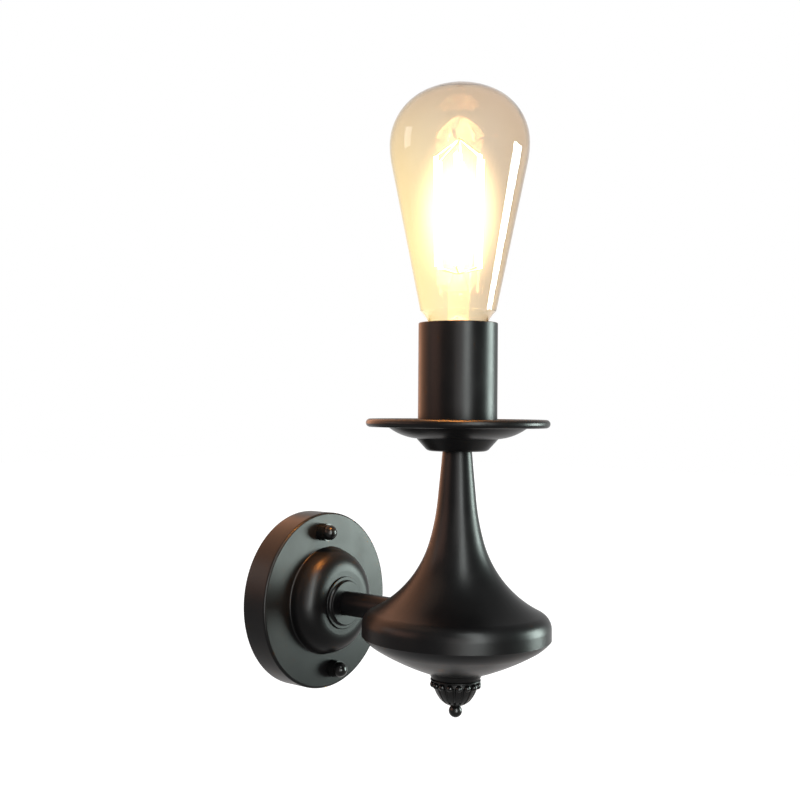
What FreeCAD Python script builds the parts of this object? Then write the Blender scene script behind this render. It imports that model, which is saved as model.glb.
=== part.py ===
"""Torch sconce: a candle-style wall light with a bare pear lamp.

Frame: the wall is the plane y = 0 and the light stands out along -Y, +Z is up, and the
origin is the middle of the round back plate where it meets the wall. Millimetres.
"""
import FreeCAD, Part
import math
import os

import Sketcher
from FreeCAD import Placement, Rotation, Vector

# ------------------------------------------------------------------ driving sizes
# Each row is one size of the real product: name, value, what it is.
SIZES = [
    # sheet metal, pipe thread and running fits
    ("sheet_wall", 1.0, "wall of every spun steel shell"),
    ("pipe_radius", 5.0, "M10 lamp pipe, outside of the thread"),
    ("pipe_bore", 3.6, "wire way through pipe and arm, radius"),
    ("thread_gap", 0.06, "radial play of a threaded fit"),
    ("hole_gap", 0.12, "radial play of a plain hole round the pipe"),
    ("seat_gap", 0.05, "play under a piece that turns on its seat"),
    ("nut_flats", 14.0, "across the flats of the M10 lock nuts"),
    ("nut_height", 3.2, "height of the M10 lock nuts"),
    ("washer_radius", 8.0, "outside of the M10 washers"),
    ("washer_height", 0.8, "thickness of the M10 washers"),
    # back plate
    ("canopy_radius", 44.0, "round back plate, outside"),
    ("canopy_depth", 14.3, "back plate, wall to flat face"),
    ("canopy_round", 1.2, "rolled front edge of the back plate"),
    ("dome_radius", 26.3, "raised dome of the back plate at its foot"),
    ("dome_height", 11.4, "dome above the flat face"),
    ("dome_seam", 0.8, "fillet where the dome leaves the face"),
    # collar on the dome and the arm
    ("collar_foot_radius", 13.0, "foot flange of the arm collar"),
    ("collar_foot_height", 0.9, "thickness of that flange"),
    ("collar_groove_radius", 11.4, "groove above the foot flange"),
    ("collar_top_radius", 10.9, "collar at its flat disc"),
    ("collar_height", 2.5, "arm collar, dome to disc"),
    ("collar_round", 0.4, "edges of the arm collar"),
    ("wall_reach", 95.0, "wall to the torch's own axis"),
    ("arm_radius", 6.0, "plain arm tube"),
    ("arm_end_spare", 1.6, "thread that shows past the arm's lock nut"),
    # wall strap, studs and cap nuts
    ("strap_width", 22.0, "mounting strap, side to side"),
    ("strap_play", 1.5, "strap's corners to the wall of the back plate"),
    ("strap_wall", 1.5, "thickness of the strap"),
    ("strap_rise", 3.4, "how far the strap's ends stand off the wall"),
    ("strap_bend_angle", 45.0, "slope of the strap's joggle, degrees"),
    ("strap_head_play", 0.3, "stud heads to the joggle"),
    ("cable_hole", 6.5, "cable entry in the strap, radius"),
    ("slot_spacing", 44.0, "wall screw slots, centre to centre"),
    ("slot_length", 10.0, "wall screw slot, end to end"),
    ("slot_radius", 2.25, "half the width of a wall screw slot"),
    ("stud_inset", 9.075, "studs from the plate's edge: 69.85 apart, the 2 3/4 inch standard"),
    ("stud_lean", 6.9, "angle of the pair of studs from upright, degrees"),
    ("stud_radius", 2.0, "M4 stud"),
    ("stud_hole_gap", 0.25, "radial play of the stud holes in the back plate"),
    ("stud_head_radius", 3.6, "head of a stud behind the strap"),
    ("stud_head_height", 2.2, "height of that head"),
    ("cap_radius", 4.3, "round cap nut, barrel"),
    ("cap_barrel", 4.4, "cap nut, length of the barrel"),
    ("cap_nose_radius", 3.7, "cap nut, foot of its rounded nose"),
    ("cap_length", 9.0, "cap nut, seat to the tip of the nose"),
    ("cap_thread_depth", 5.6, "blind thread in the cap nut"),
    ("cap_spare", 0.6, "room past the stud's end in the cap nut"),
    ("earth_offset", 7.0, "earth screw from the strap's middle line"),
    ("earth_height", 12.0, "earth screw above the strap's centre"),
    # terminal block in the back plate
    ("block_width", 18.0, "terminal block, side to side"),
    ("block_height", 8.0, "terminal block, bottom to top"),
    ("block_depth", 10.0, "terminal block, strap to front"),
    ("block_drop", 8.0, "terminal block's top below the arm's axis"),
    ("block_pitch", 9.0, "between the two ways of the block"),
    ("block_screw_radius", 1.6, "clamp screws of the block"),
    ("block_screw_head", 0.6, "how far those screws stand out"),
    ("block_entry", 4.0, "depth of the lead entries"),
    # bell: trumpet over a shallow dish
    ("neck_radius", 6.7, "top of the bell's neck"),
    ("neck_length", 22.4, "straight taper of the neck"),
    ("neck_angle", 5.4, "taper of the neck, degrees from upright"),
    ("throat_radius", 107.0, "gentle curve below the neck"),
    ("throat_angle", 15.9, "slope where the throat meets the flare, degrees"),
    ("flare_angle", 64.0, "slope where the flare meets the shoulder, degrees"),
    ("shoulder_radius", 7.3, "rounded shoulder above the rim band"),
    ("rim_radius", 43.2, "rim band of the bell, outside"),
    ("band_height", 4.6, "upright rim band of the bell"),
    ("arm_hole_gap", 0.5, "radial play of the hole that the arm passes"),
    ("arm_hole_web", 0.7, "metal left below that hole"),
    ("dish_edge", 0.4, "upright edge of the dish under the band"),
    ("dish_edge_angle", 50.6, "slope of the dish at its edge, degrees"),
    ("dish_mid_angle", 30.8, "slope between the dish's two curves, degrees"),
    ("dish_foot_angle", 18.1, "slope of the dish at its foot, degrees"),
    ("dish_edge_radius", 23.5, "outer curve of the dish"),
    ("dish_foot_radius", 12.1, "flat foot of the dish"),
    ("dish_lip_height", 4.0, "lip of the dish inside the band"),
    ("dish_lip_gap", 0.15, "play between the lip and the band"),
    # hub in the bell, pipes and finial
    ("hub_radius", 11.0, "coupling hub"),
    ("hub_half_height", 13.0, "coupling hub, arm axis to either end"),
    ("thread_depth", 8.0, "pipe threads in the hub"),
    ("arm_thread_depth", 3.8, "arm thread in the hub"),
    ("hub_spot", 1.2, "depth of the flat that the arm's shoulder meets"),
    ("ring_top_radius", 12.1, "seat ring over the finial, top"),
    ("ring_foot_radius", 11.0, "seat ring, foot"),
    ("ring_bead", 0.5, "bead round the seat ring's foot"),
    ("ring_height", 3.4, "height of the seat ring"),
    ("leaf_count", 16, "leaves round the finial"),
    ("finial_top_radius", 10.2, "finial cup at its top"),
    ("finial_top_height", 1.6, "upright top of the finial cup"),
    ("finial_mid_radius", 7.5, "finial cup half way down"),
    ("finial_mid_drop", 7.8, "that point below the finial's top"),
    ("finial_neck_radius", 2.0, "finial between cup and ball"),
    ("finial_neck_drop", 11.4, "neck below the finial's top"),
    ("finial_belly", 14.0, "upper curve of the finial cup"),
    ("finial_foot_curve", 9.0, "lower curve of the finial cup"),
    ("ball_radius", 3.05, "ball under the finial"),
    ("leaf_tip_radius", 1.55, "rounded tip of each leaf"),
    ("leaf_groove", 0.62, "groove between two leaves, radius"),
    ("leaf_groove_reach", 9.95, "groove from the middle of the cup"),
    ("leaf_groove_angle", 56.0, "sweep of a groove down the cup, degrees"),
    ("finial_thread_depth", 5.6, "blind thread in the finial"),
    # tray and cup
    ("cup_side_radius", 14.6, "cup where its cone begins"),
    ("cup_corner", 3.4, "rounded foot of the cup"),
    ("cup_angle", 48.0, "slope of the cup's cone, degrees"),
    ("cup_height", 5.7, "cup, neck to tray"),
    ("tray_floor_radius", 19.1, "flat floor of the drip tray"),
    ("tray_bowl_radius", 31.8, "where the tray's bowl meets its flange"),
    ("tray_floor_angle", 6.0, "slope of the bowl at the floor, degrees"),
    ("tray_bowl_angle", 38.0, "slope of the bowl at the flange, degrees"),
    ("tray_radius", 41.95, "drip tray with its rolled rim, outside"),
    ("bead_radius", 1.9, "rolled rim of the drip tray"),
    # sleeve and lampholder
    ("sleeve_radius", 18.1, "plain sleeve round the lampholder"),
    ("sleeve_length", 52.0, "length of the sleeve"),
    ("sleeve_edge", 0.3, "broken edges of the sleeve"),
    ("holder_radius", 16.4, "lampholder, outside"),
    ("holder_wall", 1.6, "wall of the lampholder's base"),
    ("holder_lift", 4.9, "lampholder above the tray's floor"),
    ("base_floor", 2.5, "floor of the lampholder's base"),
    ("base_height", 8.1, "height of the lampholder's base"),
    ("boss_radius", 7.2, "threaded boss in the base"),
    ("boss_height", 1.1, "boss above the base's floor"),
    ("body_height", 34.0, "height of the lampholder's body"),
    ("body_floor", 5.5, "floor of the lampholder's body"),
    ("mouth_radius", 15.0, "mouth of the lampholder's body"),
    ("mouth_depth", 2.0, "flared mouth of the body"),
    ("shell_wall", 0.4, "brass screw shell"),
    ("shell_gap", 0.1, "radial play of the lamp cap in its screw shell"),
    ("shell_height", 21.5, "height of the screw shell"),
    ("shell_lift", 5.0, "screw shell above the floor of the body"),
    ("button_radius", 3.2, "sprung centre contact"),
    ("button_length", 3.95, "length of the centre contact"),
    ("button_bore", 2.4, "spring pocket in the contact, radius"),
    ("button_roof", 1.15, "metal over that pocket"),
    ("button_lift", 1.28, "room under the contact in its guide"),
    ("button_gap", 0.08, "radial play of the contact in its guide"),
    ("guide_floor", 1.2, "floor under the contact's guide"),
    ("spring_wire", 0.25, "contact spring, wire radius"),
    ("spring_radius", 1.9, "contact spring, to the middle of its wire"),
    ("spring_turns", 4.0, "turns of the contact spring"),
    ("spring_slack", 0.1, "room above and below the contact spring"),
    ("tag_length", 5.0, "terminal of the lampholder, along the wire"),
    ("tag_width", 5.0, "terminal of the lampholder, across"),
    ("tag_height", 4.3, "terminal of the lampholder, floor down"),
    ("tag_offset", 6.5, "inner face of a terminal from the axis"),
    ("tag_screw_radius", 1.5, "screw of a lampholder terminal"),
    ("tag_screw_head", 1.2, "head of that screw"),
    # leads
    ("lead_radius", 1.0, "insulated lead"),
    ("lead_offset", 1.2, "lead from the arm's axis, side to side"),
    ("lead_plane", 8.0, "wall to the leads where they leave the block"),
    ("lead_rise", 6.0, "first upright run of a lead"),
    ("lead_run_in", 15.5, "wall to where the leads line up with the arm"),
    ("lead_exit_bend", 3.4, "bend over the block"),
    ("lead_entry_bend", 10.0, "bend before the arm"),
    ("lead_hub_bend", 6.0, "bend in the hub"),
    ("lead_tag_bend", 3.0, "bend at the lampholder"),
    # lamp: E27 cap and pear glass
    ("cap_shell_radius", 13.1, "E27 cap, outside of its thread"),
    ("cap_shell_wall", 0.3, "wall of the cap's shell"),
    ("cap_shell_height", 23.5, "height of the cap's shell"),
    ("cap_taper", 2.0, "chamfer at the foot of the cap's shell"),
    ("insulator_radius", 8.0, "glass insulator, foot"),
    ("insulator_height", 2.5, "height of the insulator"),
    ("tip_radius", 4.5, "solder tip of the cap"),
    ("tip_height", 1.0, "height of the solder tip"),
    ("tip_gap", 0.05, "tip over the centre contact"),
    ("glass_wall", 0.8, "wall of the lamp's glass"),
    ("glass_neck_radius", 12.6, "neck of the glass in the cap"),
    ("glass_tuck", 4.5, "glass inside the cap's shell"),
    ("glass_neck_rise", 2.6, "straight neck above the cap"),
    ("glass_cone_radius", 17.35, "foot of the glass's cone"),
    ("glass_cone_rise", 11.1, "foot of the cone above the cap"),
    ("glass_shoulder", 16.0, "curve between neck and cone"),
    ("glass_radius", 32.0, "pear glass at its widest: 64 across"),
    ("glass_side_curve", 45.4, "curve from the cone into the widest part"),
    ("glass_side_angle", 11.5, "slope of the cone, degrees"),
    ("glass_belly_rise", 87.5, "widest part above the cap"),
    ("glass_crown_curve", 26.2, "curve above the widest part"),
    ("glass_crown_angle", 61.0, "where that curve meets the top, degrees"),
    ("pip_radius", 1.6, "sealed exhaust tip of the glass"),
    ("pip_height", 1.3, "height of the exhaust tip"),
    ("stem_lift", 1.2, "stem above the mouth of the glass"),
    ("stem_radius", 5.0, "glass stem"),
    ("stem_flare", 6.0, "height of the stem's flare"),
    ("stem_height", 31.0, "height of the glass stem"),
    ("stem_press_radius", 2.8, "pinched top of the stem"),
    ("stem_press_height", 8.0, "height of the pinched top"),
    ("filament_count", 6, "filaments round the stem"),
    ("filament_radius", 1.1, "coated filament"),
    ("filament_length", 50.0, "length of a filament"),
    ("filament_foot_offset", 10.6, "lower ends from the axis"),
    ("filament_top_offset", 11.5, "upper ends from the axis"),
    ("filament_lift", 3.4, "filaments above the stem"),
    ("wire_radius", 0.4, "support and lead wires"),
    ("mast_length", 63.0, "middle support wire above the stem"),
]

DOC = FreeCAD.newDocument("torch_sconce")
SHEET = DOC.addObject("Spreadsheet::Sheet", "Sizes")


class Dim:
    """A length, ratio or count with its value and the sheet expression behind it."""

    def __init__(self, value, text):
        self.value = float(value)
        self.text = text

    @staticmethod
    def of(item):
        """Return item as a Dim; a plain number stands for itself."""
        if isinstance(item, Dim):
            return item
        return Dim(item, repr(float(item)))

    def __add__(self, other):
        other = Dim.of(other)
        return Dim(self.value + other.value, "(%s + %s)" % (self.text, other.text))

    def __sub__(self, other):
        other = Dim.of(other)
        return Dim(self.value - other.value, "(%s - %s)" % (self.text, other.text))

    def __mul__(self, other):
        other = Dim.of(other)
        return Dim(self.value * other.value, "(%s * %s)" % (self.text, other.text))

    def __truediv__(self, other):
        other = Dim.of(other)
        return Dim(self.value / other.value, "(%s / %s)" % (self.text, other.text))

    def __radd__(self, other):
        return Dim.of(other) + self

    def __rsub__(self, other):
        return Dim.of(other) - self

    def __rmul__(self, other):
        return Dim.of(other) * self

    def __neg__(self):
        return Dim(-self.value, "(-%s)" % self.text)


def cosine(angle):
    """Cosine of a Dim in degrees."""
    return Dim(math.cos(math.radians(angle.value)), "cos(%s * 1 deg)" % angle.text)


def sine(angle):
    """Sine of a Dim in degrees."""
    return Dim(math.sin(math.radians(angle.value)), "sin(%s * 1 deg)" % angle.text)


def root(number):
    """Square root of a Dim."""
    return Dim(math.sqrt(number.value), "sqrt(%s)" % number.text)


class Sizes:
    """The driving sizes, each a Dim under its own name."""


def fill_sheet():
    """Write the driving sizes into the sheet and return them as Dims."""
    sizes = Sizes()
    for row, (name, value, note) in enumerate(SIZES, start=1):
        SHEET.set("A%d" % row, name)
        SHEET.set("B%d" % row, str(value))
        SHEET.setAlias("B%d" % row, name)
        SHEET.set("C%d" % row, note)
        setattr(sizes, name, Dim(value, "Sizes.%s" % name))
    DOC.recompute()
    return sizes


S = fill_sheet()
ZERO = Dim.of(0)
FULL_TURN = 360.0
LEAST_CUT = 1e-3    # mm3: a cut that takes less has missed its body
VOLUME_PLAY = 0.01  # share by which a swept lead may miss section times length


# ------------------------------------------------------------------ sketch helpers
def origin_plane(body, role):
    """Return the body's own origin plane with this role, such as XY_Plane."""
    for feature in body.Origin.OriginFeatures:
        if feature.Role == role:
            return feature
    raise RuntimeError("no origin plane " + role)


def new_body(label):
    """Return a new body whose label names its file."""
    body = DOC.addObject("PartDesign::Body", label)
    body.Label = label
    return body


def new_sketch(body, name, role, lift=None):
    """Return a sketch on an origin plane of its body, raised by lift."""
    sketch = body.newObject("Sketcher::SketchObject", name)
    sketch.AttachmentSupport = [(origin_plane(body, role), "")]
    sketch.MapMode = "FlatFace"
    if lift is not None:
        sketch.setExpression(".AttachmentOffset.Base.z", lift.text)
        sketch.AttachmentOffset = Placement(Vector(0, 0, lift.value), Rotation())
    return sketch


def pin_point(sketch, geo, pos, across, up):
    """Fix one point of a sketch at (across, up), both bound to the sheet."""
    for kind, axis, dim in (("DistanceX", -2, across), ("DistanceY", -1, up)):
        if dim.text == ZERO.text:
            sketch.addConstraint(Sketcher.Constraint("PointOnObject", geo, pos, axis))
            continue
        index = sketch.addConstraint(Sketcher.Constraint(kind, geo, pos, dim.value))
        sketch.setExpression("Constraints[%d]" % index, dim.text)


def arc_geometry(start, end, radius, side):
    """Return the short arc from start to end that bulges to side (+1 is left)."""
    chord = end - start
    across = Vector(-chord.y, chord.x, 0).normalize()
    half = chord.Length / 2
    depth = math.sqrt(max(radius * radius - half * half, 0.0))
    centre = (start + end) * 0.5 - across * (side * depth)
    first, last = (end, start) if side > 0 else (start, end)
    angles = [math.atan2(point.y - centre.y, point.x - centre.x) for point in (first, last)]
    return Part.ArcOfCircle(Part.Circle(centre, Vector(0, 0, 1), radius), *angles)


def draw_loop(sketch, corners):
    """Draw a closed outline.

    Each corner is (across, up) or (across, up, radius, side): the edge that leaves it
    is then an arc of that radius, which bulges left (+1) or right (-1) of its way.
    """
    count = len(corners)
    places = [Vector(Dim.of(c[0]).value, Dim.of(c[1]).value, 0) for c in corners]
    ends = []
    for index, corner in enumerate(corners):
        start, end = places[index], places[(index + 1) % count]
        if len(corner) == 2:
            geo = sketch.addGeometry(Part.LineSegment(start, end), False)
            ends.append((geo, 1, 2))
        else:
            radius, side = Dim.of(corner[2]), corner[3]
            geo = sketch.addGeometry(arc_geometry(start, end, radius.value, side), False)
            ends.append((geo, 2, 1) if side > 0 else (geo, 1, 2))
    for index in range(count):
        geo, first, last = ends[index]
        after, begin, _ = ends[(index + 1) % count]
        sketch.addConstraint(Sketcher.Constraint("Coincident", geo, last, after, begin))
    for index, corner in enumerate(corners):
        geo, first, _ = ends[index]
        pin_point(sketch, geo, first, Dim.of(corner[0]), Dim.of(corner[1]))
        if len(corner) > 2:
            radius = Dim.of(corner[2])
            mark = sketch.addConstraint(Sketcher.Constraint("Radius", geo, radius.value))
            sketch.setExpression("Constraints[%d]" % mark, radius.text)


def draw_circle(sketch, across, up, radius):
    """Draw a circle whose centre and radius are bound to the sheet."""
    across, up = Dim.of(across), Dim.of(up)
    centre = Vector(across.value, up.value, 0)
    geo = sketch.addGeometry(Part.Circle(centre, Vector(0, 0, 1), radius.value), False)
    pin_point(sketch, geo, 3, across, up)
    mark = sketch.addConstraint(Sketcher.Constraint("Radius", geo, radius.value))
    sketch.setExpression("Constraints[%d]" % mark, radius.text)


def place(item, across=ZERO, along=ZERO, up=ZERO):
    """Put a piece at its seat; each coordinate is bound to the sheet."""
    item.Placement = Placement(Vector(across.value, along.value, up.value), Rotation())
    for axis, dim in (("x", across), ("y", along), ("z", up)):
        if dim is not ZERO:
            item.setExpression("Placement.Base." + axis, dim.text)
    return item


def turned(label, corners, upright=True):
    """Return a body turned from an outline.

    Args: label, the piece's name; corners, its outline as (radius, height) about +Z, or
    as (radius, -depth) about Y for a piece on the arm's axis, where upright is False.
    """
    body = new_body(label)
    sketch = new_sketch(body, label + "_outline", "XZ_Plane" if upright else "XY_Plane")
    draw_loop(sketch, corners)
    spin = body.newObject("PartDesign::Revolution", label + "_turned")
    spin.Profile = sketch
    spin.ReferenceAxis = (sketch, ["V_Axis"])
    spin.Angle = FULL_TURN
    sketch.Visibility = False
    DOC.recompute()
    return body


def cut_with(body, feature, what):
    """Recompute, and stop if the cut took nothing away from its body."""
    before = feature.BaseFeature.Shape.Volume if feature.BaseFeature else None
    DOC.recompute()
    if before is None or feature.Shape.isNull() or before - feature.Shape.Volume < LEAST_CUT:
        raise RuntimeError("%s: %s cut nothing" % (body.Label, what))
    return body


def drill(body, name, role, circles, depth, back=False, lift=None):
    """Pocket round holes of a sketch on an origin plane, depth deep.

    Args: circles, a list of (across, up, radius) in the plane; back, to cut along the
    plane's own normal rather than against it.
    """
    sketch = new_sketch(body, name + "_outline", role, lift)
    for across, up, radius in circles:
        draw_circle(sketch, across, up, radius)
    return sink(body, name, sketch, depth, back)


def sink(body, name, sketch, depth, back=False):
    """Pocket a sketch into its body, depth deep."""
    DOC.recompute()
    pocket = body.newObject("PartDesign::Pocket", name)
    pocket.Profile = sketch
    pocket.Type = 0
    pocket.Length = depth.value
    pocket.setExpression("Length", depth.text)
    pocket.Reversed = back
    sketch.Visibility = False
    return cut_with(body, pocket, name)


def padded(body, name, sketch, height, both=False, back=False):
    """Pad a sketch by height, from its plane or to both sides of it."""
    pad = body.newObject("PartDesign::Pad", name)
    pad.Profile = sketch
    pad.Type = 0
    pad.Length = height.value
    pad.setExpression("Length", height.text)
    if both:
        pad.Midplane = True
    pad.Reversed = back
    sketch.Visibility = False
    DOC.recompute()
    return pad


def ring_pattern(body, feature, name, count):
    """Repeat a feature count times round the body's upright axis."""
    pattern = body.newObject("PartDesign::PolarPattern", name)
    pattern.Originals = [feature]
    axis = [f for f in body.Origin.OriginFeatures if f.Role == "Z_Axis"][0]
    pattern.Axis = (axis, [""])
    pattern.Angle = FULL_TURN
    pattern.Occurrences = int(round(count.value))
    pattern.setExpression("Occurrences", count.text)
    body.Tip = pattern
    DOC.recompute()
    return pattern


def rod(name, radius, length, spot, way="up"):
    """Return a plain round bar.

    Args: spot, its foot as (across, along, up); way, "up" for +Z, "out" for -Y and
    "right" or "left" for +X or -X.
    """
    turns = {"up": Rotation(), "out": Rotation(Vector(1, 0, 0), 90),
             "right": Rotation(Vector(0, 1, 0), 90), "left": Rotation(Vector(0, 1, 0), -90)}
    bar = DOC.addObject("Part::Cylinder", name)
    bar.Label = name
    bar.Radius, bar.Height = radius.value, length.value
    bar.setExpression("Radius", radius.text)
    bar.setExpression("Height", length.text)
    place(bar, *[Dim.of(value) for value in spot])
    bar.Placement = Placement(bar.Placement.Base, turns[way])
    return bar


def joined(label, *pieces):
    """Fuse touching pieces into one solid."""
    whole = DOC.addObject("Part::MultiFuse", label)
    whole.Label = label
    whole.Shapes = list(pieces)
    DOC.recompute()
    return whole


def grouped(label, pieces):
    """Keep like pieces as separate solids in one node."""
    group = DOC.addObject("Part::Compound", label)
    group.Label = label
    group.Links = list(pieces)
    DOC.recompute()
    return group


def hex_nut(label, spot, way="up"):
    """Return an M10 lock nut with its bore; its foot is at spot."""
    blank = DOC.addObject("Part::Prism", label + "_blank")
    blank.Polygon = 6
    corner = S.nut_flats / root(Dim.of(3))
    blank.Circumradius, blank.Height = corner.value, S.nut_height.value
    blank.setExpression("Circumradius", corner.text)
    blank.setExpression("Height", S.nut_height.text)
    place(blank, *[Dim.of(value) for value in spot])
    bore = rod(label + "_bore", S.pipe_radius + S.thread_gap, S.nut_height, spot, way)
    blank.Placement = bore.Placement
    nut = DOC.addObject("Part::Cut", label)
    nut.Label = label
    nut.Base, nut.Tool = blank, bore
    DOC.recompute()
    return nut


def flat_ring(label, bore, radius, height, upright=True):
    """Return a washer-like ring, from its seat outwards."""
    top = height if upright else -height
    return turned(label, [(bore, ZERO), (radius, ZERO), (radius, top), (bore, top)], upright)


# ------------------------------------------------------------------ where things sit
T = S.sheet_wall
PIPE_HOLE = S.pipe_radius + S.hole_gap
THREAD = S.pipe_radius + S.thread_gap
LAND = S.canopy_depth + S.dome_height
ARM_FACE = LAND + S.collar_height
HUB_FLAT = S.hub_radius - S.hub_spot
ARM_HOLE = S.arm_radius + S.arm_hole_gap

SKIRT_Z = -(ARM_HOLE + S.arm_hole_web)
RIM_Z = SKIRT_Z + S.band_height
FLARE_R = S.rim_radius - S.shoulder_radius * (1 - cosine(S.flare_angle))
FLARE_Z = RIM_Z + S.shoulder_radius * sine(S.flare_angle)
NECK_R = S.neck_radius + S.neck_length * sine(S.neck_angle)
THROAT_R = NECK_R + S.throat_radius * (cosine(S.neck_angle) - cosine(S.throat_angle))
FLARE_CURVE = (FLARE_R - THROAT_R) / (cosine(S.throat_angle) - cosine(S.flare_angle))
THROAT_Z = FLARE_Z + FLARE_CURVE * (sine(S.flare_angle) - sine(S.throat_angle))
NECK_Z = THROAT_Z + S.throat_radius * (sine(S.throat_angle) - sine(S.neck_angle))
CUP_Z = NECK_Z + S.neck_length * cosine(S.neck_angle)
TRAY_Z = CUP_Z + S.cup_height
FLOOR_Z = TRAY_Z + T
HOLDER_Z = FLOOR_Z + S.holder_lift
BODY_Z = HOLDER_Z + S.base_height
GUIDE_Z = BODY_Z + S.guide_floor
BUTTON_Z = GUIDE_Z + S.button_lift
TIP_Z = BUTTON_Z + S.button_length + S.tip_gap
INSULATOR_Z = TIP_Z + S.tip_height
CAP_Z = INSULATOR_Z + S.insulator_height
CAP_TOP_Z = CAP_Z + S.cap_shell_height
STEM_Z = CAP_TOP_Z - S.glass_tuck + S.stem_lift
STEM_TOP_Z = STEM_Z + S.stem_height
FILAMENT_Z = STEM_TOP_Z + S.filament_lift
PIPE_TOP_Z = HOLDER_Z + S.base_floor + S.boss_height

DISH_DROP_R = S.dish_edge_radius * (sine(S.dish_edge_angle) - sine(S.dish_mid_angle))
DISH_MID_R = S.rim_radius - DISH_DROP_R
DISH_MID_Z = -S.dish_edge - S.dish_edge_radius * (
    cosine(S.dish_mid_angle) - cosine(S.dish_edge_angle))
DISH_CURVE = (DISH_MID_R - S.dish_foot_radius) / (
    sine(S.dish_mid_angle) - sine(S.dish_foot_angle))
DISH_FOOT_Z = DISH_MID_Z - DISH_CURVE * (
    cosine(S.dish_foot_angle) - cosine(S.dish_mid_angle))
RING_Z = SKIRT_Z + DISH_FOOT_Z
FINIAL_Z = RING_Z - S.ring_height - S.seat_gap

STUD_REACH = S.canopy_radius - S.stud_inset
STUD_ACROSS = STUD_REACH * sine(S.stud_lean)
STUD_UP = STUD_REACH * cosine(S.stud_lean)
STUDS = [("top", -STUD_ACROSS, STUD_UP), ("bottom", STUD_ACROSS, -STUD_UP)]


# ------------------------------------------------------------------ back plate
def canopy():
    """Spun back plate: rolled edge, flat face and raised dome, open to the wall."""
    crown = S.dome_height - S.dome_seam
    crest = S.dome_radius - crown
    foot = S.canopy_depth + S.dome_seam
    body = turned("canopy", [
        (S.canopy_radius, ZERO),
        (S.canopy_radius, -(S.canopy_depth - S.canopy_round), S.canopy_round, 1),
        (S.canopy_radius - S.canopy_round, -S.canopy_depth),
        (S.dome_radius + S.dome_seam, -S.canopy_depth, S.dome_seam, -1),
        (S.dome_radius, -foot, crown, 1),
        (crest, -LAND),
        (PIPE_HOLE, -LAND),
        (PIPE_HOLE, -(LAND - T)),
        (crest, -(LAND - T), crown - T, -1),
        (S.dome_radius - T, -foot),
        (S.dome_radius - T, -(S.canopy_depth - T)),
        (S.canopy_radius - T, -(S.canopy_depth - T)),
        (S.canopy_radius - T, ZERO),
    ], upright=False)
    holes = [(x, z, S.stud_radius + S.stud_hole_gap) for _, x, z in STUDS]
    return drill(body, "stud_holes", "XZ_Plane", holes, S.canopy_depth + T, back=True)


def arm_collar():
    """Stepped collar between the dome and the arm's shoulder."""
    step = S.collar_groove_radius - S.collar_top_radius
    body = turned("arm_collar", [
        (PIPE_HOLE, ZERO),
        (S.collar_foot_radius, ZERO),
        (S.collar_foot_radius, -(S.collar_foot_height - S.collar_round), S.collar_round, 1),
        (S.collar_foot_radius - S.collar_round, -S.collar_foot_height),
        (S.collar_groove_radius, -S.collar_foot_height),
        (S.collar_top_radius, -(S.collar_foot_height + step)),
        (S.collar_top_radius, -(S.collar_height - S.collar_round), S.collar_round, 1),
        (S.collar_top_radius - S.collar_round, -S.collar_height),
        (PIPE_HOLE, -S.collar_height),
    ], upright=False)
    return place(body, along=-LAND)


def arm_tube():
    """Arm: plain tube with a thread through the dome and another into the hub."""
    tail = S.collar_height + T + S.washer_height + S.nut_height + S.arm_end_spare
    length = S.wall_reach - ARM_FACE - HUB_FLAT
    end = length + S.arm_thread_depth
    body = turned("arm_tube", [
        (S.pipe_bore, tail),
        (S.pipe_bore, -end),
        (S.pipe_radius, -end),
        (S.pipe_radius, -length),
        (S.arm_radius, -length),
        (S.arm_radius, ZERO),
        (S.pipe_radius, ZERO),
        (S.pipe_radius, tail),
    ], upright=False)
    return place(body, along=-ARM_FACE)


def canopy_lock():
    """Washer and lock nut that clamp the dome between them and the collar."""
    washer = flat_ring("canopy_lock_washer", PIPE_HOLE, S.washer_radius,
                       S.washer_height, upright=False)
    place(washer, along=-(LAND - T - S.washer_height))
    back = LAND - T - S.washer_height - S.nut_height
    return [washer, hex_nut("canopy_lock_nut", (ZERO, -back, ZERO), "out")]


def slot_loop(centre):
    """Corners of one upright slot of the strap."""
    half = S.slot_length / 2 - S.slot_radius
    low, high = centre - half, centre + half
    wide = S.slot_radius
    return [(wide, low), (wide, high, wide, -1), (ZERO, high + wide, wide, -1),
            (-wide, high), (-wide, low, wide, -1), (ZERO, low - wide, wide, -1)]


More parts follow.
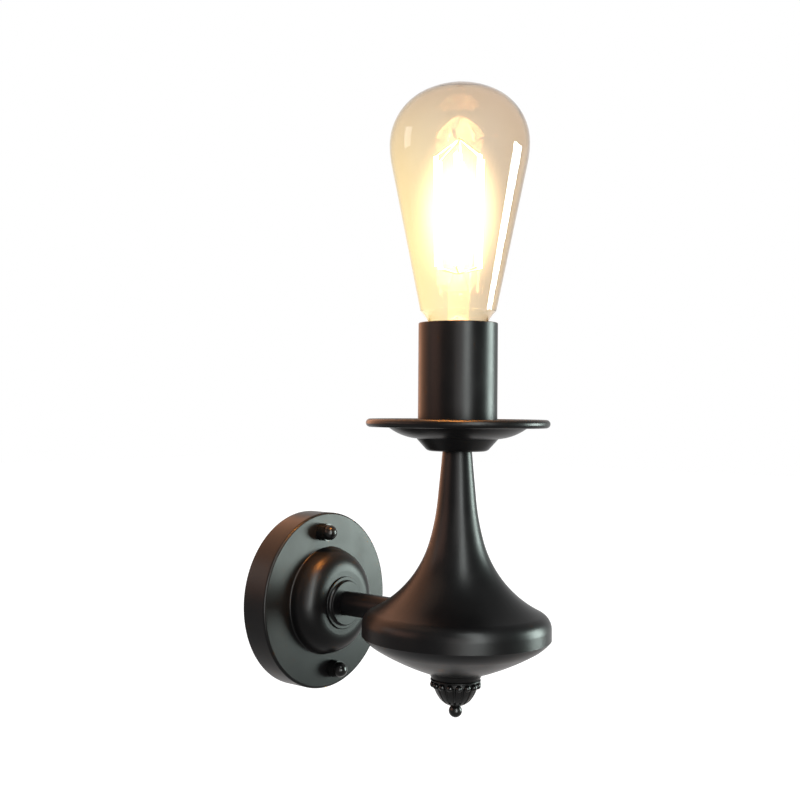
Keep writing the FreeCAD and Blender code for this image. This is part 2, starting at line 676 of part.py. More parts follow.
def mounting_strap():
    """Joggled steel strap: centre flat on the wall, ends raised for the studs."""
    body = new_body("mounting_strap")
    rise, wall, slope = S.strap_rise, S.strap_wall, S.strap_bend_angle
    run = rise * cosine(slope) / sine(slope)
    bend = STUD_UP - S.stud_head_radius - S.strap_head_play - run
    tuck = wall * (1 - cosine(slope)) / sine(slope)
    reach, half_width = S.canopy_radius - T - S.strap_play, S.strap_width / 2
    end = root(reach * reach - half_width * half_width)
    sketch = new_sketch(body, "strap_outline", "YZ_Plane")
    draw_loop(sketch, [
        (ZERO, -bend), (ZERO, bend), (-rise, bend + run), (-rise, end),
        (-rise - wall, end), (-rise - wall, bend + run - tuck),
        (-wall, bend - tuck), (-wall, tuck - bend), (-rise - wall, tuck - bend - run),
        (-rise - wall, -end), (-rise, -end), (-rise, -bend - run)])
    padded(body, "strap_bar", sketch, S.strap_width, both=True)
    through = rise + wall + T
    thread = S.stud_radius + S.thread_gap
    drill(body, "threads", "XZ_Plane",
          [(x, z, thread) for _, x, z in STUDS] + [(S.earth_offset, S.earth_height, thread)],
          through, back=True)
    drill(body, "cable_entry", "XZ_Plane", [(ZERO, ZERO, S.cable_hole)], through, back=True)
    for side, name in ((1, "upper_slot"), (-1, "lower_slot")):
        slot = new_sketch(body, name + "_outline", "XZ_Plane")
        draw_loop(slot, slot_loop(S.slot_spacing / 2 * side))
        sink(body, name, slot, through, back=True)
    return body


def stud_screws():
    """Two studs, heads behind the strap's ends, that carry the cap nuts."""
    reach = S.canopy_depth + S.seat_gap + S.cap_thread_depth - S.cap_spare - S.strap_rise
    studs = []
    for side, x, z in STUDS:
        head_foot = (x, S.stud_head_height - S.strap_rise, z)
        head = rod("stud_head_" + side, S.stud_head_radius, S.stud_head_height,
                   head_foot, "out")
        shank = rod("stud_shank_" + side, S.stud_radius, reach, (x, -S.strap_rise, z), "out")
        studs.append(joined("stud_" + side, head, shank))
    return grouped("stud_screws", studs)


def cap_nut(side, across, up):
    """Round cap nut with a rounded nose and a blind thread."""
    nose = S.cap_length - S.cap_barrel
    curve = (S.cap_nose_radius * S.cap_nose_radius + nose * nose) / (nose * 2)
    bore = S.stud_radius + S.thread_gap
    body = turned("cap_nut_" + side, [
        (bore, ZERO),
        (S.cap_radius, ZERO),
        (S.cap_radius, -S.cap_barrel),
        (S.cap_nose_radius, -S.cap_barrel, curve, 1),
        (ZERO, -S.cap_length),
        (ZERO, -S.cap_thread_depth),
        (bore, -S.cap_thread_depth),
    ], upright=False)
    return place(body, across, -(S.canopy_depth + S.seat_gap), up)


def earth_screw():
    """Earth screw on the face of the strap."""
    spot = (S.earth_offset, -S.strap_wall, S.earth_height)
    head = rod("earth_head", S.stud_head_radius, S.stud_head_height, spot, "out")
    shank = rod("earth_shank", S.stud_radius, S.strap_wall,
                (S.earth_offset, ZERO, S.earth_height), "out")
    return joined("earth_screw", head, shank)


def terminal_block():
    """Two-way terminal block on the strap, with the two lead entries in its top."""
    body = new_body("terminal_block")
    sketch = new_sketch(body, "block_outline", "XY_Plane")
    half = S.block_width / 2
    draw_loop(sketch, [(-half, -S.block_depth), (half, -S.block_depth), (half, ZERO),
                       (-half, ZERO)])
    padded(body, "block_body", sketch, S.block_height, back=True)
    way = S.block_pitch / 2
    entry = S.lead_radius + S.hole_gap
    level = -(S.lead_plane - S.strap_wall)
    drill(body, "lead_entries", "XY_Plane", [(way, level, entry), (-way, level, entry)],
          S.block_entry)
    return place(body, along=-S.strap_wall, up=-S.block_drop)


def terminal_block_screws():
    """Clamp screws on the front of the terminal block."""
    front = S.strap_wall + S.block_depth
    level = -S.block_drop - S.block_height / 2
    heads = [rod("block_screw_" + name, S.block_screw_radius, S.block_screw_head,
                 (S.block_pitch / 2 * sign, -front, level), "out")
             for name, sign in (("right", 1), ("left", -1))]
    return grouped("terminal_block_screws", heads)


# ------------------------------------------------------------------ bell, hub, finial
def bell_upper():
    """Trumpet of the bell: neck, throat, flare, rounded shoulder and rim band."""
    inner = [(radius - T * cosine(angle), height - T * sine(angle))
             for radius, height, angle in ((NECK_R, NECK_Z, S.neck_angle),
                                           (THROAT_R, THROAT_Z, S.throat_angle),
                                           (FLARE_R, FLARE_Z, S.flare_angle))]
    neck_in, throat_in, flare_in = inner
    body = turned("bell_upper", [
        (PIPE_HOLE, CUP_Z),
        (S.neck_radius, CUP_Z),
        (NECK_R, NECK_Z, S.throat_radius, -1),
        (THROAT_R, THROAT_Z, FLARE_CURVE, -1),
        (FLARE_R, FLARE_Z, S.shoulder_radius, 1),
        (S.rim_radius, RIM_Z),
        (S.rim_radius, SKIRT_Z),
        (S.rim_radius - T, SKIRT_Z),
        (S.rim_radius - T, RIM_Z, S.shoulder_radius - T, -1),
        flare_in + (FLARE_CURVE + T, 1),
        throat_in + (S.throat_radius + T, 1),
        neck_in,
        (S.neck_radius - T, CUP_Z - T),
        (PIPE_HOLE, CUP_Z - T),
    ])
    drill(body, "arm_hole", "XZ_Plane", [(ZERO, ZERO, ARM_HOLE)], S.rim_radius + T)
    return place(body, along=-S.wall_reach)


def bell_bottom():
    """Shallow dish that closes the bell, with a lip inside the rim band."""
    lip_out = S.rim_radius - T - S.dish_lip_gap
    lip_in = lip_out - T
    body = turned("bell_bottom", [
        (S.rim_radius, ZERO),
        (S.rim_radius, -S.dish_edge, S.dish_edge_radius, 1),
        (DISH_MID_R, DISH_MID_Z, DISH_CURVE, 1),
        (S.dish_foot_radius, DISH_FOOT_Z),
        (PIPE_HOLE, DISH_FOOT_Z),
        (PIPE_HOLE, DISH_FOOT_Z + T),
        (S.dish_foot_radius - T * sine(S.dish_foot_angle), DISH_FOOT_Z + T,
         DISH_CURVE - T, -1),
        (DISH_MID_R - T * sine(S.dish_mid_angle), DISH_MID_Z + T * cosine(S.dish_mid_angle)),
        (lip_in, -S.dish_edge),
        (lip_in, S.dish_lip_height),
        (lip_out, S.dish_lip_height),
        (lip_out, ZERO),
    ])
    drill(body, "arm_notch", "XZ_Plane", [(ZERO, -SKIRT_Z, ARM_HOLE)], S.rim_radius + T)
    return place(body, along=-S.wall_reach, up=SKIRT_Z)


def coupling_hub():
    """Hub inside the bell: an upright thread through it and a side thread for the arm."""
    edge = S.collar_round
    high = S.hub_half_height
    body = turned("coupling_hub", [
        (THREAD, -high), (S.hub_radius - edge, -high), (S.hub_radius, edge - high),
        (S.hub_radius, high - edge), (S.hub_radius - edge, high), (THREAD, high)])
    drill(body, "arm_thread", "XZ_Plane", [(ZERO, ZERO, THREAD)], S.hub_radius)
    drill(body, "arm_seat", "XZ_Plane", [(ZERO, ZERO, ARM_HOLE)],
          S.hub_radius - HUB_FLAT + T, lift=-HUB_FLAT)
    return place(body, along=-S.wall_reach)


def pipe(label, low, high):
    """Threaded lamp pipe on the torch's axis, from low to high."""
    length = high - low
    body = turned(label, [(S.pipe_bore, ZERO), (S.pipe_radius, ZERO),
                          (S.pipe_radius, length), (S.pipe_bore, length)])
    return place(body, along=-S.wall_reach, up=low)


def pipes_and_nuts():
    """Upper pipe to the lampholder, lower pipe to the finial, and their lock nuts."""
    inside = S.hub_half_height - S.thread_depth
    low_end = FINIAL_Z - S.finial_thread_depth + S.cap_spare
    washer = flat_ring("tray_lock_washer", PIPE_HOLE, S.washer_radius, S.washer_height)
    place(washer, along=-S.wall_reach, up=FLOOR_Z)
    return [
        pipe("upper_pipe", inside, PIPE_TOP_Z),
        pipe("lower_pipe", low_end, -inside),
        hex_nut("hub_lock_nut", (ZERO, -S.wall_reach, S.hub_half_height)),
        washer,
        hex_nut("tray_lock_nut", (ZERO, -S.wall_reach, FLOOR_Z + S.washer_height)),
    ]


def seat_ring():
    """Tapered ring with a beaded foot between the dish and the finial."""
    foot, bead = S.ring_foot_radius, S.ring_bead
    body = turned("seat_ring", [
        (PIPE_HOLE, ZERO),
        (PIPE_HOLE, -S.ring_height),
        (foot, -S.ring_height, bead, -1),
        (foot + bead, bead - S.ring_height, bead, -1),
        (foot, bead * 2 - S.ring_height),
        (S.ring_top_radius, ZERO),
    ])
    return place(body, along=-S.wall_reach, up=RING_Z)


def finial():
    """Cast finial: a cup of leaves with rounded tips over a ball."""
    ball = S.finial_neck_drop + root(
        S.ball_radius * S.ball_radius - S.finial_neck_radius * S.finial_neck_radius)
    body = turned("finial", [
        (THREAD, ZERO),
        (S.finial_top_radius, ZERO),
        (S.finial_top_radius, -S.finial_top_height, S.finial_belly, 1),
        (S.finial_mid_radius, -S.finial_mid_drop, S.finial_foot_curve, 1),
        (S.finial_neck_radius, -S.finial_neck_drop, S.ball_radius, 1),
        (S.ball_radius, -ball, S.ball_radius, 1),
        (ZERO, -(ball + S.ball_radius)),
        (ZERO, -S.finial_thread_depth),
        (THREAD, -S.finial_thread_depth),
    ])
    tip = body.newObject("PartDesign::AdditiveSphere", "leaf_tip")
    tip.AttachmentSupport = [(origin_plane(body, "YZ_Plane"), "")]
    tip.MapMode = "FlatFace"
    tip.Radius = S.leaf_tip_radius.value
    tip.setExpression("Radius", S.leaf_tip_radius.text)
    spot = (ZERO, -S.finial_top_height, S.finial_top_radius)
    tip.AttachmentOffset = Placement(Vector(*[dim.value for dim in spot]), Rotation())
    for axis, dim in zip("xyz", spot):
        tip.setExpression(".AttachmentOffset.Base." + axis, dim.text)
    DOC.recompute()
    ring_pattern(body, tip, "leaf_tips", S.leaf_count)
    sketch = new_sketch(body, "groove_outline", "XY_Plane", -S.finial_top_height)
    half_pitch = Dim.of(FULL_TURN / 2) / S.leaf_count
    reach = S.leaf_groove_reach
    draw_circle(sketch, reach * cosine(half_pitch), reach * sine(half_pitch), S.leaf_groove)
    swing = (-reach * sine(half_pitch), reach * cosine(half_pitch))
    axle = sketch.addGeometry(
        Part.LineSegment(Vector(), Vector(swing[0].value, swing[1].value, 0)), True)
    pin_point(sketch, axle, 1, ZERO, ZERO)
    pin_point(sketch, axle, 2, *swing)
    DOC.recompute()
    groove = body.newObject("PartDesign::Groove", "leaf_groove")
    groove.Profile = sketch
    groove.ReferenceAxis = (sketch, ["Axis0"])
    groove.Angle = S.leaf_groove_angle.value
    groove.setExpression("Angle", S.leaf_groove_angle.text)
    sketch.Visibility = False
    cut_with(body, groove, "leaf groove")
    ring_pattern(body, groove, "leaf_grooves", S.leaf_count)
    return place(body, along=-S.wall_reach, up=FINIAL_Z)


# ------------------------------------------------------------------ cup, tray, sleeve
def tray_cup():
    """Conical cup between the bell's neck and the drip tray."""
    side = sine(S.cup_angle)
    rise = S.cup_corner * (1 - cosine(S.cup_angle))
    foot = S.cup_side_radius - S.cup_corner * side
    top = S.cup_side_radius + (S.cup_height - rise) * cosine(S.cup_angle) / side
    body = turned("tray_cup", [
        (PIPE_HOLE, ZERO),
        (foot, ZERO, S.cup_corner, -1),
        (S.cup_side_radius, rise),
        (top, S.cup_height),
        (top - T / side, S.cup_height),
        (S.cup_side_radius - T * side, rise + T * cosine(S.cup_angle), S.cup_corner - T, 1),
        (foot, T),
        (PIPE_HOLE, T),
    ])
    return place(body, along=-S.wall_reach, up=CUP_Z)


def drip_tray():
    """Spun drip tray: flat floor, shallow bowl, flange and rolled round rim."""
    bead = S.bead_radius
    low, high = S.tray_floor_angle, S.tray_bowl_angle
    curve = (S.tray_bowl_radius - S.tray_floor_radius) / (sine(high) - sine(low))
    rise = curve * (cosine(low) - cosine(high))
    middle = S.tray_radius - bead
    body = turned("drip_tray", [
        (PIPE_HOLE, ZERO),
        (S.tray_floor_radius, ZERO, curve, -1),
        (S.tray_bowl_radius, rise),
        (middle, rise, bead, -1),
        (middle + bead, rise + bead, bead, -1),
        (middle, rise + bead * 2, bead, -1),
        (middle - bead, rise + bead, bead, -1),
        (middle - root(bead * T * 2 - T * T), rise + T),
        (S.tray_bowl_radius - T * sine(high), rise + T * cosine(high), curve - T, 1),
        (S.tray_floor_radius - T * sine(low), T),
        (PIPE_HOLE, T),
    ])
    return place(body, along=-S.wall_reach, up=TRAY_Z)


def sleeve():
    """Plain open sleeve that stands on the tray and hides the lampholder."""
    outer, inner, edge = S.sleeve_radius, S.sleeve_radius - T, S.sleeve_edge
    body = turned("sleeve", [
        (inner, ZERO), (outer, ZERO), (outer, S.sleeve_length - edge),
        (outer - edge, S.sleeve_length), (inner, S.sleeve_length)])
    return place(body, along=-S.wall_reach, up=FLOOR_Z)


# ------------------------------------------------------------------ lampholder
def lampholder_base():
    """Cup-shaped base of the lampholder with its threaded boss."""
    radius, wall = S.holder_radius, S.holder_wall
    body = turned("lampholder_base", [
        (THREAD, ZERO),
        (radius - wall, ZERO),
        (radius, wall),
        (radius, S.base_height),
        (radius - wall, S.base_height),
        (radius - wall, S.base_floor),
        (S.boss_radius, S.base_floor),
        (S.boss_radius, S.base_floor + S.boss_height),
        (THREAD, S.base_floor + S.boss_height),
    ])
    return place(body, along=-S.wall_reach, up=HOLDER_Z)


SHELL_OUT = S.cap_shell_radius + S.shell_gap + S.shell_wall
SHELL_LEDGE = S.body_floor + S.shell_lift


def lampholder_body():
    """Insulating body: floor with the contact's guide, seat for the screw shell, mouth."""
    bore = SHELL_OUT + S.hole_gap
    guide = S.button_radius + S.button_gap
    body = turned("lampholder_body", [
        (ZERO, ZERO),
        (S.holder_radius, ZERO),
        (S.holder_radius, S.body_height),
        (S.mouth_radius, S.body_height),
        (bore, S.body_height - S.mouth_depth),
        (bore, SHELL_LEDGE),
        (SHELL_OUT - S.holder_wall, SHELL_LEDGE),
        (SHELL_OUT - S.holder_wall, S.body_floor),
        (guide, S.body_floor),
        (guide, S.guide_floor),
        (ZERO, S.guide_floor),
    ])
    return place(body, along=-S.wall_reach, up=BODY_Z)


def screw_shell():
    """Brass screw shell on its ledge in the body."""
    inner = SHELL_OUT - S.shell_wall
    body = turned("screw_shell", [(inner, ZERO), (SHELL_OUT, ZERO),
                                  (SHELL_OUT, S.shell_height), (inner, S.shell_height)])
    return place(body, along=-S.wall_reach, up=BODY_Z + SHELL_LEDGE)


def centre_contact():
    """Sprung contact that slides in its guide and follows the lamp's tip."""
    roof = S.button_length - S.button_roof
    edge = S.sleeve_edge
    body = turned("centre_contact", [
        (S.button_bore, ZERO), (S.button_radius, ZERO),
        (S.button_radius, S.button_length - edge),
        (S.button_radius - edge, S.button_length),
        (ZERO, S.button_length), (ZERO, roof), (S.button_bore, roof)])
    return place(body, along=-S.wall_reach, up=BUTTON_Z)


def contact_spring():
    """Coil spring between the guide's floor and the roof of the contact."""
    room = S.button_lift + S.button_length - S.button_roof
    rise = room - (S.spring_slack + S.spring_wire) * 2
    line = DOC.addObject("Part::Helix", "spring_line")
    line.SegmentLength = 1
    section = DOC.addObject("Part::Circle", "spring_section")
    for item, name, dim in ((line, "Pitch", rise / S.spring_turns), (line, "Height", rise),
                            (line, "Radius", S.spring_radius),
                            (section, "Radius", S.spring_wire)):
        setattr(item, name, dim.value)
        item.setExpression(name, dim.text)
    place(section, S.spring_radius)
    section.Placement = Placement(section.Placement.Base, Rotation(Vector(1, 0, 0), -90))
    coil = DOC.addObject("Part::Sweep", "contact_spring")
    coil.Label = "contact_spring"
    coil.Sections, coil.Spine = [section], (line, [])
    coil.Solid = coil.Frenet = True
    DOC.recompute()
    return place(coil, along=-S.wall_reach, up=GUIDE_Z + S.spring_slack + S.spring_wire)


def lampholder_terminals():
    """Two brass terminals under the floor of the body, and their screws."""
    blocks, screws = [], []
    for name, sign in (("right", 1), ("left", -1)):
        block = DOC.addObject("Part::Box", "terminal_" + name)
        for side, dim in (("Length", S.tag_length), ("Width", S.tag_width),
                          ("Height", S.tag_height)):
            setattr(block, side, dim.value)
            block.setExpression(side, dim.text)
        near = S.tag_offset if sign > 0 else -(S.tag_offset + S.tag_length)
        place(block, near, -S.wall_reach - S.tag_width / 2, BODY_Z - S.tag_height)
        blocks.append(block)
        far = (S.tag_offset + S.tag_length) * sign
        screws.append(rod("terminal_screw_" + name, S.tag_screw_radius, S.tag_screw_head,
                          (far, -S.wall_reach, BODY_Z - S.tag_height / 2), name))
    return [grouped("lampholder_terminals", blocks),
            grouped("lampholder_terminal_screws", screws)]


# ------------------------------------------------------------------ leads
def bent_path(points, bends):
    """Return one wire of straight runs joined by tangent arcs.

    Args: points, the corners of the route; bends, one radius for each inner corner.
    """
    edges, start = [], points[0]
    for corner, after, radius in zip(points[1:-1], points[2:], bends):
        inward = (start - corner).normalize()
        outward = (after - corner).normalize()
        turn = math.pi - inward.getAngle(outward)
        setback = radius * math.tan(turn / 2)
        first, last = corner + inward * setback, corner + outward * setback
        middle = (inward + outward).normalize()
        depth = radius / math.cos(turn / 2) - radius
        edges.append(Part.LineSegment(start, first).toShape())
        edges.append(Part.Arc(first, corner + middle * depth, last).toShape())
        start = last
    edges.append(Part.LineSegment(start, points[-1]).toShape())
    return Part.Wire(edges)


def lead(label, sign):
    """One insulated lead, from the terminal block through arm, hub and pipe."""
    way, reach = S.block_pitch.value / 2 * sign, S.wall_reach.value
    offset = S.lead_offset.value * sign
    foot = -S.block_drop.value - S.block_entry.value
    level = BODY_Z.value - S.tag_height.value / 2
    plane = -S.lead_plane.value
    points = [
        Vector(way, plane, foot),
        Vector(way, plane, S.lead_rise.value - S.block_drop.value),
        Vector(offset, -S.lead_run_in.value, 0),
        Vector(offset, -reach, 0),
        Vector(offset, -reach, level),
        Vector(S.tag_offset.value * sign, -reach, level),
    ]
    bends = [S.lead_exit_bend.value, S.lead_entry_bend.value, S.lead_hub_bend.value,
             S.lead_tag_bend.value]
    path = bent_path(points, bends)
    radius = S.lead_radius.value
    ring = Part.Wire(Part.makeCircle(radius, points[0], Vector(0, 0, 1)))
    shape = path.makePipeShell([ring], True, False)
    expected = math.pi * radius * radius * path.Length
    if abs(shape.Volume - expected) > expected * VOLUME_PLAY:
        raise RuntimeError(label + ": the lead's volume is not its section times its length")
    print(label, "length %.1f mm, bends" % path.Length, bends)
    feature = DOC.addObject("Part::Feature", label)
    feature.Label = label
    feature.Shape = shape
    return place(feature)


# ------------------------------------------------------------------ lamp
def bulb_cap():
    """E27 cap shell, closed round the insulator."""
    radius, wall = S.cap_shell_radius, S.cap_shell_wall
    foot = radius - S.cap_taper
    body = turned("bulb_cap", [
        (foot - wall, ZERO), (foot, ZERO), (radius, S.cap_taper),
        (radius, S.cap_shell_height), (radius - wall, S.cap_shell_height),
        (radius - wall, S.cap_taper)])
    return place(body, along=-S.wall_reach, up=CAP_Z)


def cap_insulator():
    """Glass insulator that closes the foot of the cap."""
    top = S.cap_shell_radius - S.cap_taper - S.cap_shell_wall
    body = turned("cap_insulator", [
        (ZERO, ZERO), (S.insulator_radius, ZERO), (top, S.insulator_height),
        (ZERO, S.insulator_height)])
    return place(body, along=-S.wall_reach, up=INSULATOR_Z)


def cap_tip():
    """Solder tip of the cap."""
    body = turned("cap_tip", [
        (ZERO, ZERO), (S.tip_radius - S.sleeve_edge, ZERO),
        (S.tip_radius, S.tip_height), (ZERO, S.tip_height)])
    return place(body, along=-S.wall_reach, up=TIP_Z)


def bulb_glass():
    """Pear-shaped glass with its sealed exhaust tip; the neck sits in the cap."""
    wall, neck = S.glass_wall, S.glass_neck_radius
    side, crown = S.glass_side_curve, S.glass_crown_curve
    slope, bend = S.glass_side_angle, S.glass_crown_angle
    low = -S.glass_tuck
    cone = (S.glass_radius - side * (1 - cosine(slope)),
            S.glass_belly_rise - side * sine(slope))
    hub = S.glass_radius - crown
    dome = crown + hub / cosine(bend)
    dome_centre = S.glass_belly_rise - hub * sine(bend) / cosine(bend)
    turn = (hub + crown * cosine(bend), S.glass_belly_rise + crown * sine(bend))
    pip_foot = dome_centre + root(dome * dome - S.pip_radius * S.pip_radius)
    body = turned("bulb_glass", [
        (neck - wall, low),
        (neck, low),
        (neck, S.glass_neck_rise, S.glass_shoulder, 1),
        (S.glass_cone_radius, S.glass_cone_rise),
        cone + (side, -1),
        (S.glass_radius, S.glass_belly_rise, crown, -1),
        turn + (dome, -1),
        (S.pip_radius, pip_foot),
        (S.pip_radius / 2, pip_foot + S.pip_height),
        (ZERO, pip_foot + S.pip_height),
        (ZERO, dome_centre + dome - wall, dome - wall, 1),
        (hub + (crown - wall) * cosine(bend),
         S.glass_belly_rise + (crown - wall) * sine(bend), crown - wall, 1),
        (S.glass_radius - wall, S.glass_belly_rise, side - wall, 1),
        (cone[0] - wall * cosine(slope), cone[1] + wall * sine(slope)),
        (S.glass_cone_radius - wall, S.glass_cone_rise, S.glass_shoulder - wall, -1),
        (neck - wall, S.glass_neck_rise),
    ])
    return place(body, along=-S.wall_reach, up=CAP_TOP_Z)


def glass_stem():
    """Glass stem in the neck: flare, tube and pinched top."""
    foot = S.glass_neck_radius - S.glass_wall - S.seat_gap
    straight = S.stem_height - S.stem_press_height
    body = turned("glass_stem", [
        (ZERO, ZERO),
        (foot, ZERO),
        (S.stem_radius, S.stem_flare),
        (S.stem_radius, straight),
        (S.stem_press_radius, S.stem_height),
        (ZERO, S.stem_height),
    ])
    return place(body, along=-S.wall_reach, up=STEM_Z)


def bar_between(foot, top, radius):
    """Return a round bar from one point to another."""
    way = top - foot
    return Part.makeCylinder(radius, way.Length, foot, way)


def filament_ends():
    """Return the lower and upper end of each filament, about the lamp's foot."""
    ends = []
    lean = S.filament_top_offset.value - S.filament_foot_offset.value
    height = math.sqrt(S.filament_length.value ** 2 - lean ** 2)
    base, count = FILAMENT_Z.value, int(S.filament_count.value)
    for index in range(count):
        angle = 2 * math.pi * (index + 0.5) / count
        along = Vector(math.cos(angle), math.sin(angle), 0)
        ends.append((along * S.filament_foot_offset.value + Vector(0, 0, base),
                     along * S.filament_top_offset.value + Vector(0, 0, base + height)))
    return ends


def filaments():
    """Coated filaments round the stem, one solid each."""
    bars = [bar_between(foot, top, S.filament_radius.value) for foot, top in filament_ends()]
    feature = DOC.addObject("Part::Feature", "filaments")
    feature.Label = "filaments"
    feature.Shape = Part.makeCompound(bars)
    return place(feature, along=-S.wall_reach)


def filament_supports():
    """Middle support wire with the spokes to both ends of every filament."""
    radius = S.wire_radius.value
    foot = Vector(0, 0, STEM_TOP_Z.value)
    top = Vector(0, 0, STEM_TOP_Z.value + S.mast_length.value)
    shape = bar_between(foot, top, radius)
    grip = foot + Vector(0, 0, radius)
    for low, high in filament_ends():
        way = (high - low).normalize() * radius
        for near, far in ((grip, low - way), (top - Vector(0, 0, radius), high + way)):
            shape = shape.fuse(bar_between(near, far, radius))
    feature = DOC.addObject("Part::Feature", "filament_supports")
    feature.Label = "filament_supports"
    feature.Shape = shape.removeSplitter()
    return place(feature, along=-S.wall_reach)


# ------------------------------------------------------------------ build and write
def build():
    """Build every piece and return them in the order of assembly."""
    pieces = [canopy(), arm_collar(), arm_tube()] + canopy_lock()
    pieces += [mounting_strap(), stud_screws()]
    pieces += [cap_nut(side, x, z) for side, x, z in STUDS]
    pieces += [earth_screw(), terminal_block(), terminal_block_screws()]
    pieces += [bell_upper(), bell_bottom(), coupling_hub()] + pipes_and_nuts()
    pieces += [seat_ring(), finial(), tray_cup(), drip_tray(), sleeve()]
    pieces += [lampholder_base(), lampholder_body(), screw_shell(), centre_contact(),
               contact_spring()] + lampholder_terminals()
    pieces += [lead("live_lead", 1), lead("neutral_lead", -1)]
    pieces += [bulb_cap(), cap_insulator(), cap_tip(), bulb_glass(), glass_stem(),
               filaments(), filament_supports()]
    DOC.recompute()
    return pieces


def check(pieces):
    """Stop if anything in the document failed or a piece is not a sound solid."""
    for item in DOC.Objects:
        if {"Invalid", "Error"} & set(item.State):
            raise RuntimeError("%s failed: %s" % (item.Label, item.State))
    for piece in pieces:
        if piece.Shape.isNull() or not piece.Shape.isValid() or not piece.Shape.Solids:
            raise RuntimeError(piece.Label + " is not a sound solid")


def main():
    """Build the sconce and write one file for each piece."""
    pieces = build()
    check(pieces)
    os.makedirs("parts", exist_ok=True)
    for piece in pieces:
        piece.Shape.exportStep("parts/%s.step" % piece.Label)
    print("pieces", len(pieces), "lamp axis to wall", S.wall_reach.value)


main()
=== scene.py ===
"""Looks of the torch sconce: black satin metal, a lit pear lamp, and the fittings inside.

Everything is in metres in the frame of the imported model: the wall is y = 0, the light
stands out along -Y, and +Z is up.
"""
import logging
import math
from dataclasses import dataclass, field
from enum import Enum
from typing import Protocol, Sequence

import bmesh
import bpy
from mathutils import Matrix, Vector


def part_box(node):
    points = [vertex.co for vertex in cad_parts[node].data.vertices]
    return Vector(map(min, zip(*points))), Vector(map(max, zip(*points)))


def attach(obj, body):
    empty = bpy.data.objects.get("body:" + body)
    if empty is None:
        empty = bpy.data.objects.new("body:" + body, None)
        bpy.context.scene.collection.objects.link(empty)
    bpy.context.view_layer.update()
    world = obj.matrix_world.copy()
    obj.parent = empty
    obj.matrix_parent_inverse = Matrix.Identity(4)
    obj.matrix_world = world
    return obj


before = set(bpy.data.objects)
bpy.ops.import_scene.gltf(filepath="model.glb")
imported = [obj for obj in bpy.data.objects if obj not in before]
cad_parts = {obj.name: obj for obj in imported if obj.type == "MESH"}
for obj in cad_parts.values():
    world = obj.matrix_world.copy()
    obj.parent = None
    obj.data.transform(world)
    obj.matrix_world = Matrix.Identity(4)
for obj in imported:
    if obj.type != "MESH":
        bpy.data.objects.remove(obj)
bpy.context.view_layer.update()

MM = 0.001
LOG = logging.getLogger("torch_sconce")

Colour = tuple[float, float, float]
Point = tuple[float, float, float]
Outline = Sequence[tuple[float, float]]

WELD = 1e-7  # points of a finished mesh closer than this become one, in metres
RING_WELD = 1e-8  # the same for the rings of a turned mesh
ON_AXIS = 1e-9  # a smaller radius is a point on the axis
CREASE = math.radians(35)  # a steeper edge is shown sharp
FIRST_SHADER, SECOND_SHADER = 1, 2  # sockets of a Mix Shader node, which share one name


class Body(Enum):
    """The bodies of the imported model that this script's own pieces ride on."""

    LAMP = "bulb"


class Falls(Enum):
    """What the light of a studio lamp falls on."""

    EVERYTHING = "everything"
    GLOSS = "gloss"
    GLOSS_OFF_GLASS = "gloss, but not on the glass"


class Finish(Protocol):
    """Anything that can be made into a material."""

    def make(self) -> bpy.types.Material:
        """Return the finish as a material."""


